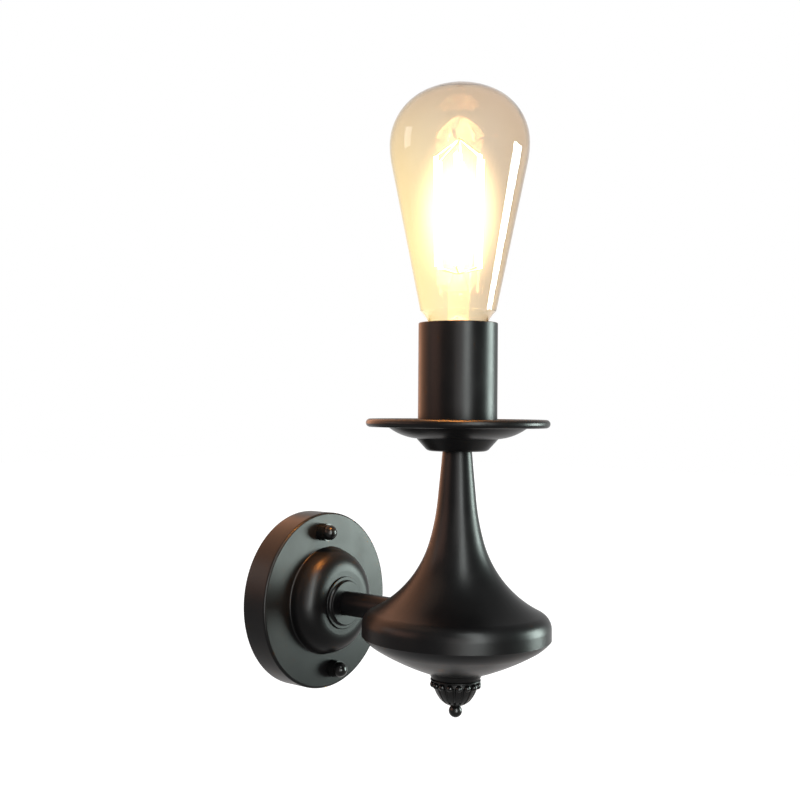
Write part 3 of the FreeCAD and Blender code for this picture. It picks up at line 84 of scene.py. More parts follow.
# ------------------------------------------------------------------ node trees
class Recipe:
    """The node tree of one material, put together node by node."""

    def __init__(self, name: str) -> None:
        """Start a material with its Principled shader.

        Args:
            name: the material's name.
        """
        self.material = bpy.data.materials.new(name)
        self.material.use_nodes = True
        self.tree = self.material.node_tree
        self.shader = self.tree.nodes["Principled BSDF"]
        self.output = self.tree.nodes["Material Output"]
        self.place = self.node("ShaderNodeTexCoord").outputs["Object"]

    def node(self, kind: str, **settings: object) -> bpy.types.Node:
        """Add a node.

        Args:
            kind: the node's type.
            settings: its properties, such as operation.

        Returns:
            The new node.
        """
        made = self.tree.nodes.new(kind)
        for name, value in settings.items():
            setattr(made, name, value)
        return made

    def join(self, source: bpy.types.NodeSocket, target: bpy.types.NodeSocket) -> None:
        """Link one socket to another."""
        self.tree.links.new(source, target)

    def plain(self, **values: object) -> None:
        """Set sockets of the Principled shader.

        Args:
            values: the sockets' values, named in small letters with _ for spaces.
        """
        for name, value in values.items():
            self.shader.inputs[name.replace("_", " ").title().replace("Ior", "IOR")
                               ].default_value = value

    def grain(self, size: float, detail: float = 3.0) -> bpy.types.NodeSocket:
        """Return noise from 0 to 1 whose grains are about size across.

        Args:
            size: width of a grain in metres.
            detail: number of finer layers.

        Returns:
            The noise's factor.
        """
        noise = self.node("ShaderNodeTexNoise")
        noise.inputs["Scale"].default_value = 1 / size
        noise.inputs["Detail"].default_value = detail
        self.join(self.place, noise.inputs["Vector"])
        return noise.outputs["Fac"]

    def span(self, source: bpy.types.NodeSocket, low: float, high: float,
             start: float = 0.3, end: float = 0.7) -> bpy.types.NodeSocket:
        """Return source, start to end, spread over low to high.

        Args:
            source: the factor to spread.
            low: result at start.
            high: result at end.
            start: value of source that gives low.
            end: value of source that gives high.

        Returns:
            The spread value.
        """
        spread = self.node("ShaderNodeMapRange")
        for name, value in (("From Min", start), ("From Max", end), ("To Min", low),
                            ("To Max", high)):
            spread.inputs[name].default_value = value
        self.join(source, spread.inputs["Value"])
        return spread.outputs["Result"]

    def shade(self, factor: bpy.types.NodeSocket, first: Colour, second: Colour
              ) -> bpy.types.NodeSocket:
        """Mix two colours.

        Args:
            factor: where between the two, from 0 to 1.
            first: the colour at 0.
            second: the colour at 1.

        Returns:
            The mixed colour.
        """
        mix = self.node("ShaderNodeMix", data_type="RGBA")
        self.join(factor, mix.inputs["Factor"])
        mix.inputs["A"].default_value = (*first, 1.0)
        mix.inputs["B"].default_value = (*second, 1.0)
        return mix.outputs["Result"]

    def relief(self, height: bpy.types.NodeSocket, depth: float) -> None:
        """Bump the Principled shader.

        Args:
            height: the height, from 0 to 1.
            depth: what a height of 1 stands for, in metres.
        """
        bump = self.node("ShaderNodeBump")
        bump.inputs["Strength"].default_value = 1.0
        bump.inputs["Distance"].default_value = depth
        self.join(height, bump.inputs["Height"])
        self.join(bump.outputs["Normal"], self.shader.inputs["Normal"])

    def upright(self) -> bpy.types.NodeSocket:
        """Find how high the shaded point is.

        Returns:
            Its height above the arm's axis, in metres.
        """
        split = self.node("ShaderNodeSeparateXYZ")
        self.join(self.place, split.inputs["Vector"])
        return split.outputs["Z"]


# ------------------------------------------------------------------ finishes
@dataclass(frozen=True)
class Paint:
    """Baked satin paint with a fine orange peel and a little dust in it."""

    name: str
    deep: Colour
    dusty: Colour
    roughness: float
    specular: float
    peel_size: float = 0.9 * MM
    peel_depth: float = 0.006 * MM
    cloud_size: float = 14 * MM
    speck_size: float = 0.35 * MM
    speck_from: float = 0.66
    speck_full: float = 0.74
    speck_share: float = 0.5
    unevenness: float = 0.03

    def make(self) -> bpy.types.Material:
        """Make the paint.

        Returns:
            The material.
        """
        recipe = Recipe(self.name)
        recipe.plain(specular_ior_level=self.specular)
        cloud = recipe.grain(self.cloud_size)
        speck = recipe.grain(self.speck_size, detail=1.0)
        dust = recipe.span(speck, 0.0, 1.0, self.speck_from, self.speck_full)
        blend = recipe.node("ShaderNodeMath", operation="MULTIPLY_ADD")
        recipe.join(dust, blend.inputs[0])
        blend.inputs[1].default_value = self.speck_share
        recipe.join(recipe.span(cloud, 0.0, 1.0 - self.speck_share), blend.inputs[2])
        recipe.join(recipe.shade(blend.outputs[0], self.deep, self.dusty),
                    recipe.shader.inputs["Base Color"])
        recipe.join(recipe.span(cloud, self.roughness - self.unevenness,
                                self.roughness + self.unevenness),
                    recipe.shader.inputs["Roughness"])
        recipe.relief(recipe.grain(self.peel_size, detail=2.0), self.peel_depth)
        return recipe.material


@dataclass(frozen=True)
class Metal:
    """Bare or plated metal with fine drawing marks and tarnish."""

    name: str
    bright: Colour
    tarnished: Colour
    roughness: float
    mark_size: float = 0.3 * MM
    mark_depth: float = 0.004 * MM
    cloud_size: float = 5 * MM
    smoother: float = 0.06
    rougher: float = 0.08

    def make(self) -> bpy.types.Material:
        """Make the metal.

        Returns:
            The material.
        """
        recipe = Recipe(self.name)
        recipe.plain(metallic=1.0)
        cloud = recipe.grain(self.cloud_size)
        recipe.join(recipe.shade(recipe.span(cloud, 0.0, 1.0), self.bright, self.tarnished),
                    recipe.shader.inputs["Base Color"])
        marks = recipe.grain(self.mark_size)
        recipe.join(recipe.span(marks, self.roughness - self.smoother,
                                self.roughness + self.rougher),
                    recipe.shader.inputs["Roughness"])
        recipe.relief(marks, self.mark_depth)
        return recipe.material


@dataclass(frozen=True)
class Moulding:
    """Moulded plastic, phenolic resin or cable insulation."""

    name: str
    colour: Colour
    shadow: Colour
    roughness: float
    grain_size: float = 0.5 * MM
    grain_depth: float = 0.006 * MM
    cloud_size: float = 4 * MM
    unevenness: float = 0.05

    def make(self) -> bpy.types.Material:
        """Make the moulding.

        Returns:
            The material.
        """
        recipe = Recipe(self.name)
        cloud = recipe.grain(self.cloud_size)
        recipe.join(recipe.shade(recipe.span(cloud, 0.0, 1.0), self.colour, self.shadow),
                    recipe.shader.inputs["Base Color"])
        recipe.join(recipe.span(cloud, self.roughness - self.unevenness,
                                self.roughness + self.unevenness),
                    recipe.shader.inputs["Roughness"])
        recipe.relief(recipe.grain(self.grain_size), self.grain_depth)
        return recipe.material


@dataclass(frozen=True)
class LampGlass:
    """Blown amber glass: its wall takes light away, so it is darker seen along the wall; a yellow
    glow painted into the wall stands for the filaments' light in it.
    """

    name: str
    tint: Colour
    absorbed: Colour
    density: float
    # painted glow: emission in the wall that stands for the filaments' light, strongest low down
    # and on one side
    glow: Colour
    glow_strength: float
    glow_foot: float
    glow_top: float
    edge: Colour
    # the painted glow is strongest towards lit_side and dimmest on the far side
    lit_side: Point = (-0.68, 0.73, 0.0)
    axis: Point = (0.0, -0.095, 0.0)
    reach: float = 0.034
    dim_reach: float = 0.3
    dim_share: float = 0.12
    ior: float = 1.33
    swirl_size: float = 30 * MM
    brown_from: float = 0.72
    brown_full: float = 0.98
    ripple_size: float = 6 * MM
    ripple_depth: float = 0.02 * MM
    ripple_roughness: float = 0.02

    def painted_glow_share(self, recipe: Recipe) -> bpy.types.NodeSocket:
        """Return how strongly the painted glow shows in the wall: most low down and on the lit
        side.

        Args:
            recipe: the material's node tree.

        Returns:
            The share, from 0 to 1.
        """
        low = recipe.span(recipe.upright(), 1.0, 0.0, self.glow_foot, self.glow_top)
        from_axis = recipe.node("ShaderNodeVectorMath", operation="SUBTRACT")
        recipe.join(recipe.place, from_axis.inputs[0])
        from_axis.inputs[1].default_value = self.axis
        across = recipe.node("ShaderNodeVectorMath", operation="DOT_PRODUCT")
        recipe.join(from_axis.outputs["Vector"], across.inputs[0])
        across.inputs[1].default_value = self.lit_side
        side = recipe.span(across.outputs["Value"], self.dim_share, 1.0,
                           -self.dim_reach * self.reach, self.reach)
        share = recipe.node("ShaderNodeMath", operation="MULTIPLY", use_clamp=True)
        recipe.join(low, share.inputs[0])
        recipe.join(side, share.inputs[1])
        return share.outputs[0]

    def wall(self, recipe: Recipe) -> bpy.types.NodeSocket:
        """Return the wall's own colour: cloudy, and browner where it is seen edge on.

        Args:
            recipe: the material's node tree.

        Returns:
            The colour.
        """
        swirl = recipe.span(recipe.grain(self.swirl_size), 0.0, 1.0)
        clearer = tuple((1.0 + part) / 2 for part in self.tint)
        face_on = recipe.shade(swirl, self.tint, clearer)
        # with a blend of 0.5, Facing is 1 less the cosine of the slant
        slant = recipe.node("ShaderNodeLayerWeight")
        slant.inputs["Blend"].default_value = 0.5
        edge_on = recipe.span(slant.outputs["Facing"], 0.0, 1.0, self.brown_from, self.brown_full)
        brown = recipe.shade(edge_on, (1.0, 1.0, 1.0), self.edge)
        both = recipe.node("ShaderNodeMix", data_type="RGBA", blend_type="MULTIPLY")
        both.inputs["Factor"].default_value = 1.0
        recipe.join(face_on, both.inputs["A"])
        recipe.join(brown, both.inputs["B"])
        return both.outputs["Result"]

    def make(self) -> bpy.types.Material:
        """Make the glass.

        Returns:
            The material.
        """
        recipe = Recipe(self.name)
        recipe.plain(transmission_weight=1.0, ior=self.ior,
                     emission_strength=self.glow_strength)
        recipe.join(self.wall(recipe), recipe.shader.inputs["Base Color"])
        ripple = recipe.grain(self.ripple_size, detail=1.0)
        recipe.join(recipe.span(ripple, 0.0, self.ripple_roughness),
                    recipe.shader.inputs["Roughness"])
        recipe.relief(ripple, self.ripple_depth)
        # painted glow: the filaments' light painted into the wall as emission
        recipe.join(recipe.shade(self.painted_glow_share(recipe), (0.0, 0.0, 0.0), self.glow),
                    recipe.shader.inputs["Emission Color"])
        inside = recipe.node("ShaderNodeVolumeAbsorption")
        inside.inputs["Color"].default_value = (*self.absorbed, 1.0)
        inside.inputs["Density"].default_value = self.density
        recipe.join(inside.outputs["Volume"], recipe.output.inputs["Volume"])
        return recipe.material


@dataclass(frozen=True)
class Glare:
    """Painted glare: a glowing haze round lit filaments, densest in the middle of its shape."""

    name: str
    colour: Colour
    strength: float
    centre: Point
    reach: Point
    fall: float = 2.0

    def make(self) -> bpy.types.Material:
        """Make the painted glare, a glowing haze that fills the shape that it is on.

        Returns:
            The material.
        """
        recipe = Recipe(self.name)
        recipe.tree.nodes.remove(recipe.shader)
        from_centre = recipe.node("ShaderNodeVectorMath", operation="SUBTRACT")
        recipe.join(recipe.place, from_centre.inputs[0])
        from_centre.inputs[1].default_value = self.centre
        scaled = recipe.node("ShaderNodeVectorMath", operation="DIVIDE")
        recipe.join(from_centre.outputs["Vector"], scaled.inputs[0])
        scaled.inputs[1].default_value = self.reach
        ball = recipe.node("ShaderNodeTexGradient", gradient_type="SPHERICAL")
        recipe.join(scaled.outputs["Vector"], ball.inputs["Vector"])
        soft = recipe.node("ShaderNodeMath", operation="POWER")
        recipe.join(ball.outputs["Fac"], soft.inputs[0])
        soft.inputs[1].default_value = self.fall
        level = recipe.node("ShaderNodeMath", operation="MULTIPLY")
        recipe.join(soft.outputs[0], level.inputs[0])
        level.inputs[1].default_value = self.strength
        haze = recipe.node("ShaderNodeEmission")
        haze.inputs["Color"].default_value = (*self.colour, 1.0)
        recipe.join(level.outputs[0], haze.inputs["Strength"])
        recipe.join(haze.outputs["Emission"], recipe.output.inputs["Volume"])
        return recipe.material


@dataclass(frozen=True)
class Glowing:
    """A surface that gives light of its own, a little uneven along its length."""

    name: str
    colour: Colour
    hot: Colour
    strength: float
    roughness: float = 0.6
    bead_size: float = 1.2 * MM
    bead_depth: float = 0.05 * MM

    def make(self) -> bpy.types.Material:
        """Make the glowing surface.

        Returns:
            The material.
        """
        recipe = Recipe(self.name)
        recipe.plain(base_color=(*self.colour, 1.0), roughness=self.roughness,
                     emission_strength=self.strength)
        beads = recipe.grain(self.bead_size)
        recipe.join(recipe.shade(recipe.span(beads, 0.0, 1.0), self.colour, self.hot),
                    recipe.shader.inputs["Emission Color"])
        recipe.relief(beads, self.bead_depth)
        return recipe.material


BLACK_PAINT = Paint("satin black paint", deep=(0.0043, 0.0043, 0.0046),
                    dusty=(0.0076, 0.0076, 0.0076), roughness=0.33, specular=0.05)
CAST_BLACK = Paint("black paint on castings", deep=(0.0045, 0.0045, 0.0045),
                   dusty=(0.008, 0.008, 0.008), roughness=0.26, specular=0.09,
                   peel_size=0.6 * MM)
ZINC = Metal("zinc plate", bright=(0.56, 0.56, 0.55), tarnished=(0.46, 0.46, 0.45),
             roughness=0.34)
BRASS = Metal("brass", bright=(0.78, 0.58, 0.28), tarnished=(0.52, 0.36, 0.16), roughness=0.3)
NICKEL = Metal("nickel plated brass", bright=(0.66, 0.62, 0.55), tarnished=(0.46, 0.42, 0.36),
               roughness=0.26)
SOLDER = Metal("solder", bright=(0.55, 0.55, 0.57), tarnished=(0.36, 0.36, 0.38),
               roughness=0.42, mark_size=0.8 * MM, mark_depth=0.03 * MM)
BLOCK_PLASTIC = Moulding("natural plastic", colour=(0.72, 0.71, 0.66),
                         shadow=(0.60, 0.59, 0.53), roughness=0.45)
PHENOLIC = Moulding("black phenolic", colour=(0.018, 0.017, 0.016),
                    shadow=(0.028, 0.026, 0.024), roughness=0.38)
VITRITE = Moulding("black insulator glass", colour=(0.012, 0.010, 0.010),
                   shadow=(0.03, 0.022, 0.018), roughness=0.12)
BROWN_LEAD = Moulding("brown insulation", colour=(0.16, 0.065, 0.028),
                      shadow=(0.11, 0.045, 0.02), roughness=0.4)
BLUE_LEAD = Moulding("blue insulation", colour=(0.035, 0.13, 0.42),
                     shadow=(0.025, 0.095, 0.32), roughness=0.4)
# the glow of both glasses is painted light: emission that stands for the filaments' light in the
# glass
AMBER_GLASS = LampGlass("amber lamp glass", tint=(0.96, 0.94, 0.91),
                        absorbed=(0.62, 0.40, 0.14), density=540.0, glow=(1.0, 0.88, 0.24),
                        glow_strength=0.26, glow_foot=0.17, glow_top=0.245,
                        edge=(0.20, 0.13, 0.07))
STEM_GLASS = LampGlass("stem glass", tint=(0.97, 0.95, 0.90), absorbed=(0.9, 0.85, 0.75),
                       density=8.0, glow=(1.0, 0.78, 0.30), glow_strength=0.6,
                       glow_foot=0.16, glow_top=0.20, edge=(0.8, 0.7, 0.5))
FILAMENT_LIGHT = Glowing("lit filament", colour=(1.0, 0.70, 0.34), hot=(1.0, 0.80, 0.50),
                         strength=26.0)


def dress(finish: Finish, *nodes: str) -> None:
    """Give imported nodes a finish.

    Args:
        finish: the finish, whose make() returns a material.
        nodes: names of the nodes.
    """
    material = finish.make()
    for name in nodes:
        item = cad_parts[name]
        if not item.material_slots:
            item.data.materials.append(material)
        for place in item.material_slots:
            place.material = material
    LOG.info("dressed %s in %s", ", ".join(nodes), material.name)


# ------------------------------------------------------------------ mesh tools
@dataclass(frozen=True)
class Seat:
    """Where a turned piece sits: a point and the way its axis runs."""

    foot: Vector
    way: Vector

    def matrix(self) -> Matrix:
        """Return the placement that takes +Z to the seat's way."""
        turn = Vector((0.0, 0.0, 1.0)).rotation_difference(self.way)
        return Matrix.Translation(self.foot) @ turn.to_matrix().to_4x4()


def finished(name: str, mesh: bmesh.types.BMesh, seat: Seat, finish: Finish, body: Body
             ) -> bpy.types.Object:
    """Turn a mesh into a named piece on its body.

    Args:
        name: the piece's name.
        mesh: its mesh, about +Z from the seat's foot.
        seat: where it sits.
        finish: its finish.
        body: the body that it rides on.

    Returns:
        The piece.
    """
    data = bpy.data.meshes.new(name)
    bmesh.ops.remove_doubles(mesh, verts=mesh.verts, dist=WELD)
    bmesh.ops.recalc_face_normals(mesh, faces=mesh.faces)
    mesh.to_mesh(data)
    mesh.free()
    data.transform(seat.matrix())
    piece = bpy.data.objects.new(name, data)
    bpy.context.scene.collection.objects.link(piece)
    data.materials.append(finish.make())
    for face in data.polygons:
        face.use_smooth = True
    data.set_sharp_from_angle(angle=CREASE)
    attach(piece, body.value)
    LOG.info("built %s with %d faces", name, len(data.polygons))
    return piece


def revolved(outline: Outline, steps: int = 48) -> bmesh.types.BMesh:
    """Return a mesh turned about +Z.

    Args:
        outline: closed outline as (radius, height) in metres.
        steps: facets round the axis.

    Returns:
        The turned mesh.
    """
    mesh = bmesh.new()
    rings = []
    for radius, height in outline:
        reach = 0.0 if radius < ON_AXIS else radius
        ring = []
        for step in range(steps):
            angle = 2 * math.pi * step / steps
            ring.append(mesh.verts.new((reach * math.cos(angle), reach * math.sin(angle),
                                        height)))
        rings.append(ring)
    count = len(rings)
    for index in range(count):
        near, far = rings[index], rings[(index + 1) % count]
        for step in range(steps):
            after = (step + 1) % steps
            mesh.faces.new((near[step], near[after], far[after], far[step]))
    bmesh.ops.remove_doubles(mesh, verts=mesh.verts, dist=RING_WELD)
    return mesh


# ------------------------------------------------------------------ studio
@dataclass
class View:
    """The photograph's viewpoint."""

    place: Point = (-0.44739, -0.43003, 0.09598)
    heading: float = 46.842
    pitch: float = 0.36
    roll: float = 0.453
    focal_px: float = 1212.04
    centre_px: tuple[float, float] = (323.13, 401.77)
    frame_px: float = 800.0
    sensor: float = 36.0
    nearest: float = 0.01
    farthest: float = 50.0

    def axes(self) -> tuple[Vector, Vector, Vector]:
        """Work out which way the camera looks.

        Returns:
            Its right, up and forward directions.
        """
        heading, pitch, roll = (math.radians(a) for a in (self.heading, self.pitch, self.roll))
        ahead = Vector((math.sin(heading) * math.cos(pitch),
                        math.cos(heading) * math.cos(pitch), math.sin(pitch)))
        level = Vector((math.cos(heading), -math.sin(heading), 0.0))
        upright = level.cross(ahead)
        right = level * math.cos(roll) + upright * math.sin(roll)
        up = upright * math.cos(roll) - level * math.sin(roll)
        return right, up, ahead

    def build(self) -> None:
        """Create the camera and make it the scene's."""
        data = bpy.data.cameras.new("camera")
        data.sensor_width = self.sensor
        data.lens = self.focal_px / self.frame_px * self.sensor
        data.shift_x = (self.frame_px / 2 - self.centre_px[0]) / self.frame_px
        data.shift_y = (self.centre_px[1] - self.frame_px / 2) / self.frame_px
        data.clip_start, data.clip_end = self.nearest, self.farthest
        camera = bpy.data.objects.new("camera", data)
        right, up, ahead = self.axes()
        camera.matrix_world = Matrix.Translation(self.place) @ Matrix(
            (right, up, -ahead)).transposed().to_4x4()
        bpy.context.scene.collection.objects.link(camera)
        bpy.context.scene.camera = camera
        LOG.info("camera at %s", self.place)


@dataclass(frozen=True)
class Softbox:
    """One studio lamp, placed by its bearing from the camera's line of sight."""

    name: str
    bearing: float
    rise: float
    distance: float
    width: float
    height: float
    colour: Colour
    power: float
    falls: Falls = Falls.EVERYTHING

    def build(self, view: View, target: Vector,
              metalwork: bpy.types.Collection | None = None) -> None:
        """Hang the lamp round target and aim it there.

        Args:
            view: the viewpoint that the bearing is measured from; right is positive.
            target: the point that the lamp looks at.
            metalwork: all but the glass, for a lamp that is kept off the glass.
        """
        data = bpy.data.lights.new(self.name, "AREA")
        data.shape = "RECTANGLE"
        data.size, data.size_y = self.width, self.height
        data.color, data.energy = self.colour, self.power
        lamp = bpy.data.objects.new(self.name, data)
        bearing = math.radians(view.heading + 180.0 - self.bearing)
        rise = math.radians(self.rise)
        way = Vector((math.sin(bearing) * math.cos(rise), math.cos(bearing) * math.cos(rise),
                      math.sin(rise)))
        lamp.location = target + way * self.distance
        lamp.rotation_euler = way.to_track_quat("Z", "Y").to_euler()
        lamp.visible_diffuse = self.falls is Falls.EVERYTHING
        lamp.visible_transmission = False
        if self.falls is Falls.GLOSS_OFF_GLASS:
            lamp.light_linking.receiver_collection = metalwork
        bpy.context.scene.collection.objects.link(lamp)


@dataclass
class Studio:
    """White surroundings, a pale floor and soft lamps."""

    view: View = field(default_factory=View)
    target: Vector = field(default_factory=lambda: Vector((0.0, -0.06, 0.05)))
    floor_level: float = -0.30
    floor_size: float = 14.0
    floor_plain: float = 0.8
    floor_shaded: float = 0.45
    floor_glow: float = 0.8
    ambient: float = 0.9
    glass: tuple[str, ...] = ("bulb_glass", "glass_stem")
    softboxes: tuple[Softbox, ...] = (
        Softbox("key softbox", bearing=99.5, rise=2.0, distance=0.9, width=0.34, height=0.46,
                colour=(0.84, 1.0, 0.94), power=32.0, falls=Falls.GLOSS),
        Softbox("front strip", bearing=21.0, rise=20.0, distance=1.0, width=0.26, height=1.3,
                colour=(0.94, 1.0, 0.98), power=60.0, falls=Falls.GLOSS_OFF_GLASS),
        Softbox("low front", bearing=9.0, rise=-12.0, distance=1.0, width=0.26, height=0.26,
                colour=(0.94, 1.0, 0.98), power=4.5, falls=Falls.GLOSS_OFF_GLASS),
        Softbox("front fill", bearing=0.0, rise=0.0, distance=1.1, width=0.5, height=0.9,
                colour=(1.0, 0.92, 0.90), power=12.0, falls=Falls.GLOSS_OFF_GLASS),
        Softbox("warm side", bearing=-132.0, rise=26.0, distance=1.0, width=1.2, height=1.2,
                colour=(1.0, 0.38, 0.14), power=21.0, falls=Falls.GLOSS_OFF_GLASS),
        Softbox("warm near", bearing=-72.0, rise=16.0, distance=0.9, width=0.5, height=0.44,
                colour=(1.0, 0.52, 0.38), power=7.0, falls=Falls.GLOSS_OFF_GLASS),
        Softbox("warm top", bearing=-84.0, rise=58.0, distance=1.0, width=0.6, height=0.4,
                colour=(1.0, 0.62, 0.42), power=2.5, falls=Falls.GLOSS_OFF_GLASS),
        Softbox("upper fill", bearing=-98.0, rise=20.0, distance=1.3, width=0.34, height=0.46,
                colour=(1.0, 0.98, 0.95), power=2.4),
    )

    def seen_directly(self, tree: bpy.types.NodeTree) -> bpy.types.NodeSocket:
        """Tell the rays that show the surroundings from those that only light.

        Args:
            tree: the node tree that asks.

        Returns:
            1 for camera, glossy and transmission rays, else 0.
        """
        path = tree.nodes.new("ShaderNodeLightPath")
        total = path.outputs["Is Camera Ray"]
        for name in ("Is Glossy Ray", "Is Transmission Ray"):
            add = tree.nodes.new("ShaderNodeMath")
            add.operation, add.use_clamp = "ADD", True
            tree.links.new(total, add.inputs[0])
            tree.links.new(path.outputs[name], add.inputs[1])
            total = add.outputs[0]
        return total

    def surroundings(self) -> None:
        """Make the world white where it shows and a plain grey where it only lights."""
        world = bpy.data.worlds.new("surroundings")
        world.use_nodes = True
        tree = world.node_tree
        tree.nodes.clear()
        mix = tree.nodes.new("ShaderNodeMixShader")
        tree.links.new(self.seen_directly(tree), mix.inputs["Fac"])
        for slot, strength in ((FIRST_SHADER, self.ambient), (SECOND_SHADER, 1.0)):
            background = tree.nodes.new("ShaderNodeBackground")
            background.inputs["Color"].default_value = (1.0, 1.0, 1.0, 1.0)
            background.inputs["Strength"].default_value = strength
            tree.links.new(background.outputs["Background"], mix.inputs[slot])
        output = tree.nodes.new("ShaderNodeOutputWorld")
        tree.links.new(mix.outputs["Shader"], output.inputs["Surface"])
        bpy.context.scene.world = world

    def floor(self) -> None:
        """Lay a pale floor far below the light; it keeps a soft shadow."""
        half = self.floor_size / 2
        data = bpy.data.meshes.new("floor")
        data.from_pydata([(-half, -half, self.floor_level), (half, -half, self.floor_level),
                          (half, half, self.floor_level), (-half, half, self.floor_level)],
                         [], [(0, 1, 2, 3)])
        floor = bpy.data.objects.new("floor", data)
        bpy.context.scene.collection.objects.link(floor)
        material = bpy.data.materials.new("pale floor")
        material.use_nodes = True
        tree = material.node_tree
        tree.nodes.clear()
        pale, shaded = (tree.nodes.new("ShaderNodeBsdfDiffuse") for _ in range(2))
        for shader, grey in ((pale, self.floor_plain), (shaded, self.floor_shaded)):
            shader.inputs["Color"].default_value = (grey, grey, grey, 1.0)
        white = tree.nodes.new("ShaderNodeEmission")
        white.inputs["Strength"].default_value = self.floor_glow
        both = tree.nodes.new("ShaderNodeAddShader")
        tree.links.new(white.outputs["Emission"], both.inputs[0])
        tree.links.new(shaded.outputs["BSDF"], both.inputs[1])
        mix = tree.nodes.new("ShaderNodeMixShader")
        tree.links.new(self.seen_directly(tree), mix.inputs["Fac"])
        tree.links.new(pale.outputs["BSDF"], mix.inputs[FIRST_SHADER])
        tree.links.new(both.outputs["Shader"], mix.inputs[SECOND_SHADER])
        output = tree.nodes.new("ShaderNodeOutputMaterial")
        tree.links.new(mix.outputs["Shader"], output.inputs["Surface"])
        data.materials.append(material)

    def build(self) -> None:
        """Build camera, surroundings, floor and lamps."""
        bpy.context.scene.view_settings.view_transform = "Standard"
        self.view.build()
        self.surroundings()
        self.floor()
        metalwork = bpy.data.collections.new("all but the glass")
        for name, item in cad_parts.items():
            if name not in self.glass:
                metalwork.objects.link(item)
        for softbox in self.softboxes:
            softbox.build(self.view, self.target, metalwork)
        LOG.info("studio with %d softboxes", len(self.softboxes))


# ------------------------------------------------------------------ sub-assemblies
@dataclass
class BackPlate:
    """Back plate with its collar, arm and cap nuts."""

    spun: Paint = BLACK_PAINT
    cast: Paint = CAST_BLACK

    def build(self) -> None:
        """Dress the plate, collar, arm and nuts."""
        dress(self.spun, "canopy", "arm_collar", "arm_tube")
        dress(self.cast, "cap_nut_top", "cap_nut_bottom")


@dataclass
class WallFixing:
    """Strap, studs, earth screw and terminal block behind the back plate."""

    steel: Metal = ZINC
    earth: Metal = BRASS
    block: Moulding = BLOCK_PLASTIC

    def build(self) -> None:
        """Dress the strap and what it carries."""
        dress(self.steel, "mounting_strap", "canopy_lock_washer", "canopy_lock_nut",
              "stud_screws", "terminal_block_screws")
        dress(self.earth, "earth_screw")
        dress(self.block, "terminal_block")


@dataclass
class Bell:
    """Trumpet bell, dish, hub, pipes and finial."""

    spun: Paint = BLACK_PAINT
    cast: Paint = CAST_BLACK
    steel: Metal = ZINC

    def build(self) -> None:
        """Dress the bell and the metalwork inside it."""
        dress(self.spun, "bell_upper", "bell_bottom", "seat_ring")
        dress(self.cast, "finial")
        dress(self.steel, "coupling_hub", "upper_pipe", "lower_pipe", "hub_lock_nut")


@dataclass
class Tray:
    """Cup, drip tray, their lock nut and the sleeve."""

    spun: Paint = BLACK_PAINT
    steel: Metal = ZINC

    def build(self) -> None:
        """Dress the tray and its neighbours."""
        dress(self.spun, "tray_cup", "drip_tray", "sleeve")
        dress(self.steel, "tray_lock_washer", "tray_lock_nut")


@dataclass
class Lampholder:
    """Lampholder with its contacts and the two leads."""

    body: Moulding = PHENOLIC
    contacts: Metal = BRASS
    steel: Metal = ZINC
    live: Moulding = BROWN_LEAD
    neutral: Moulding = BLUE_LEAD

    def build(self) -> None:
        """Dress the lampholder and the leads."""
        dress(self.body, "lampholder_base", "lampholder_body")
        dress(self.contacts, "screw_shell", "centre_contact", "lampholder_terminals")
        dress(self.steel, "contact_spring", "lampholder_terminal_screws")
        dress(self.live, "live_lead")
        dress(self.neutral, "neutral_lead")


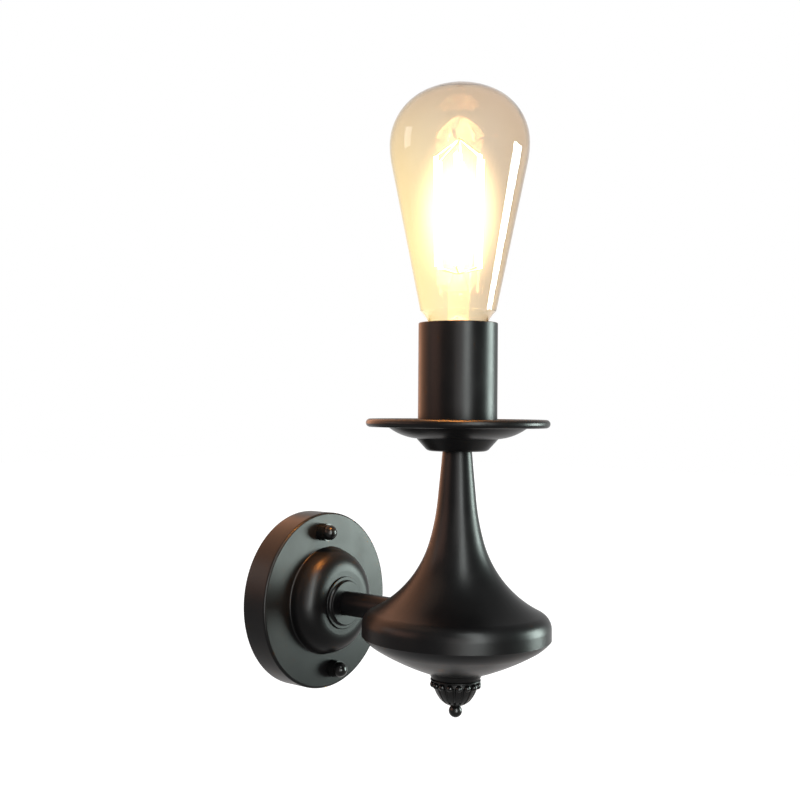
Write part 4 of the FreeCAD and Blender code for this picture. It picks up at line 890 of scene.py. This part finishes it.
@dataclass
class Lamp:
    """Lit pear lamp with its cap, stem and filaments."""

    glow_power: float = 1.0
    glow_size: float = 0.012
    glow_places: tuple[float, ...] = (-0.6, 0.0, 0.6, 1.1)
    glow_colour: Colour = (1.0, 0.50, 0.19)
    # the haze is painted glare: a glowing volume round the filaments
    haze_radius: float = 0.0242
    haze_half_height: float = 0.043
    haze_colour: Colour = (1.0, 0.77, 0.40)
    haze_strength: float = 420.0
    haze_steps: int = 24
    dome_spot: Point = (0.32, 0.87, 0.43)
    reflection: Softbox = Softbox("lamp glow", bearing=43.0, rise=67.0, distance=0.2,
                                  width=0.022, height=0.022, colour=(1.0, 0.34, 0.07),
                                  power=3.6, falls=Falls.GLOSS)
    casts_no_shadow: tuple[str, ...] = ("bulb_glass", "glass_stem", "filaments")
    middle: Vector = field(init=False)

    def __post_init__(self) -> None:
        """Find the middle of the filaments."""
        low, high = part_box("filaments")
        self.middle = (low + high) / 2

    def glow(self) -> None:
        """Add the lamp's own orange reflection in the upper left of the dome."""
        low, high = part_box("canopy")
        across, out, up = self.dome_spot
        dome = Vector((across * low.x, out * low.y, up * high.z))
        self.reflection.build(View(), dome)

    def light(self) -> None:
        """Add the light that the filaments throw on their surroundings."""
        half = (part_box("filaments")[1] - self.middle).z
        for place in self.glow_places:
            data = bpy.data.lights.new("filament light", "POINT")
            data.color, data.energy = self.glow_colour, self.glow_power
            data.shadow_soft_size = self.glow_size
            lamp = bpy.data.objects.new("filament light", data)
            lamp.location = self.middle + Vector((0.0, 0.0, place * half))
            lamp.visible_camera = lamp.visible_transmission = False
            bpy.context.scene.collection.objects.link(lamp)

    def haze(self) -> None:
        """Fill the middle of the lamp with painted glare, a glowing haze round its filaments."""
        reach = (self.haze_radius, self.haze_radius, self.haze_half_height)
        glare = Glare("filament glare", self.haze_colour, self.haze_strength,
                      tuple(self.middle), reach)
        outline = [(self.haze_radius * math.sin(math.pi * i / self.haze_steps),
                    -self.haze_half_height * math.cos(math.pi * i / self.haze_steps))
                   for i in range(self.haze_steps + 1)]
        finished("filament_glare", revolved(outline), Seat(self.middle, Vector((0, 0, 1))),
                 glare, Body.LAMP)

    def build(self) -> None:
        """Dress the lamp and light it."""
        dress(NICKEL, "bulb_cap")
        dress(VITRITE, "cap_insulator")
        dress(SOLDER, "cap_tip")
        dress(AMBER_GLASS, "bulb_glass")
        dress(STEM_GLASS, "glass_stem")
        dress(NICKEL, "filament_supports")
        dress(FILAMENT_LIGHT, "filaments")
        for name in self.casts_no_shadow:
            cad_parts[name].visible_shadow = False
        self.haze()
        self.light()
        self.glow()


def main() -> None:
    """Build the studio and every sub-assembly in order."""
    logging.basicConfig(level=logging.INFO, format="%(name)s: %(message)s")
    for part in (Studio(), BackPlate(), WallFixing(), Bell(), Tray(), Lampholder(), Lamp()):
        part.build()


if __name__ == "__main__":
    main()
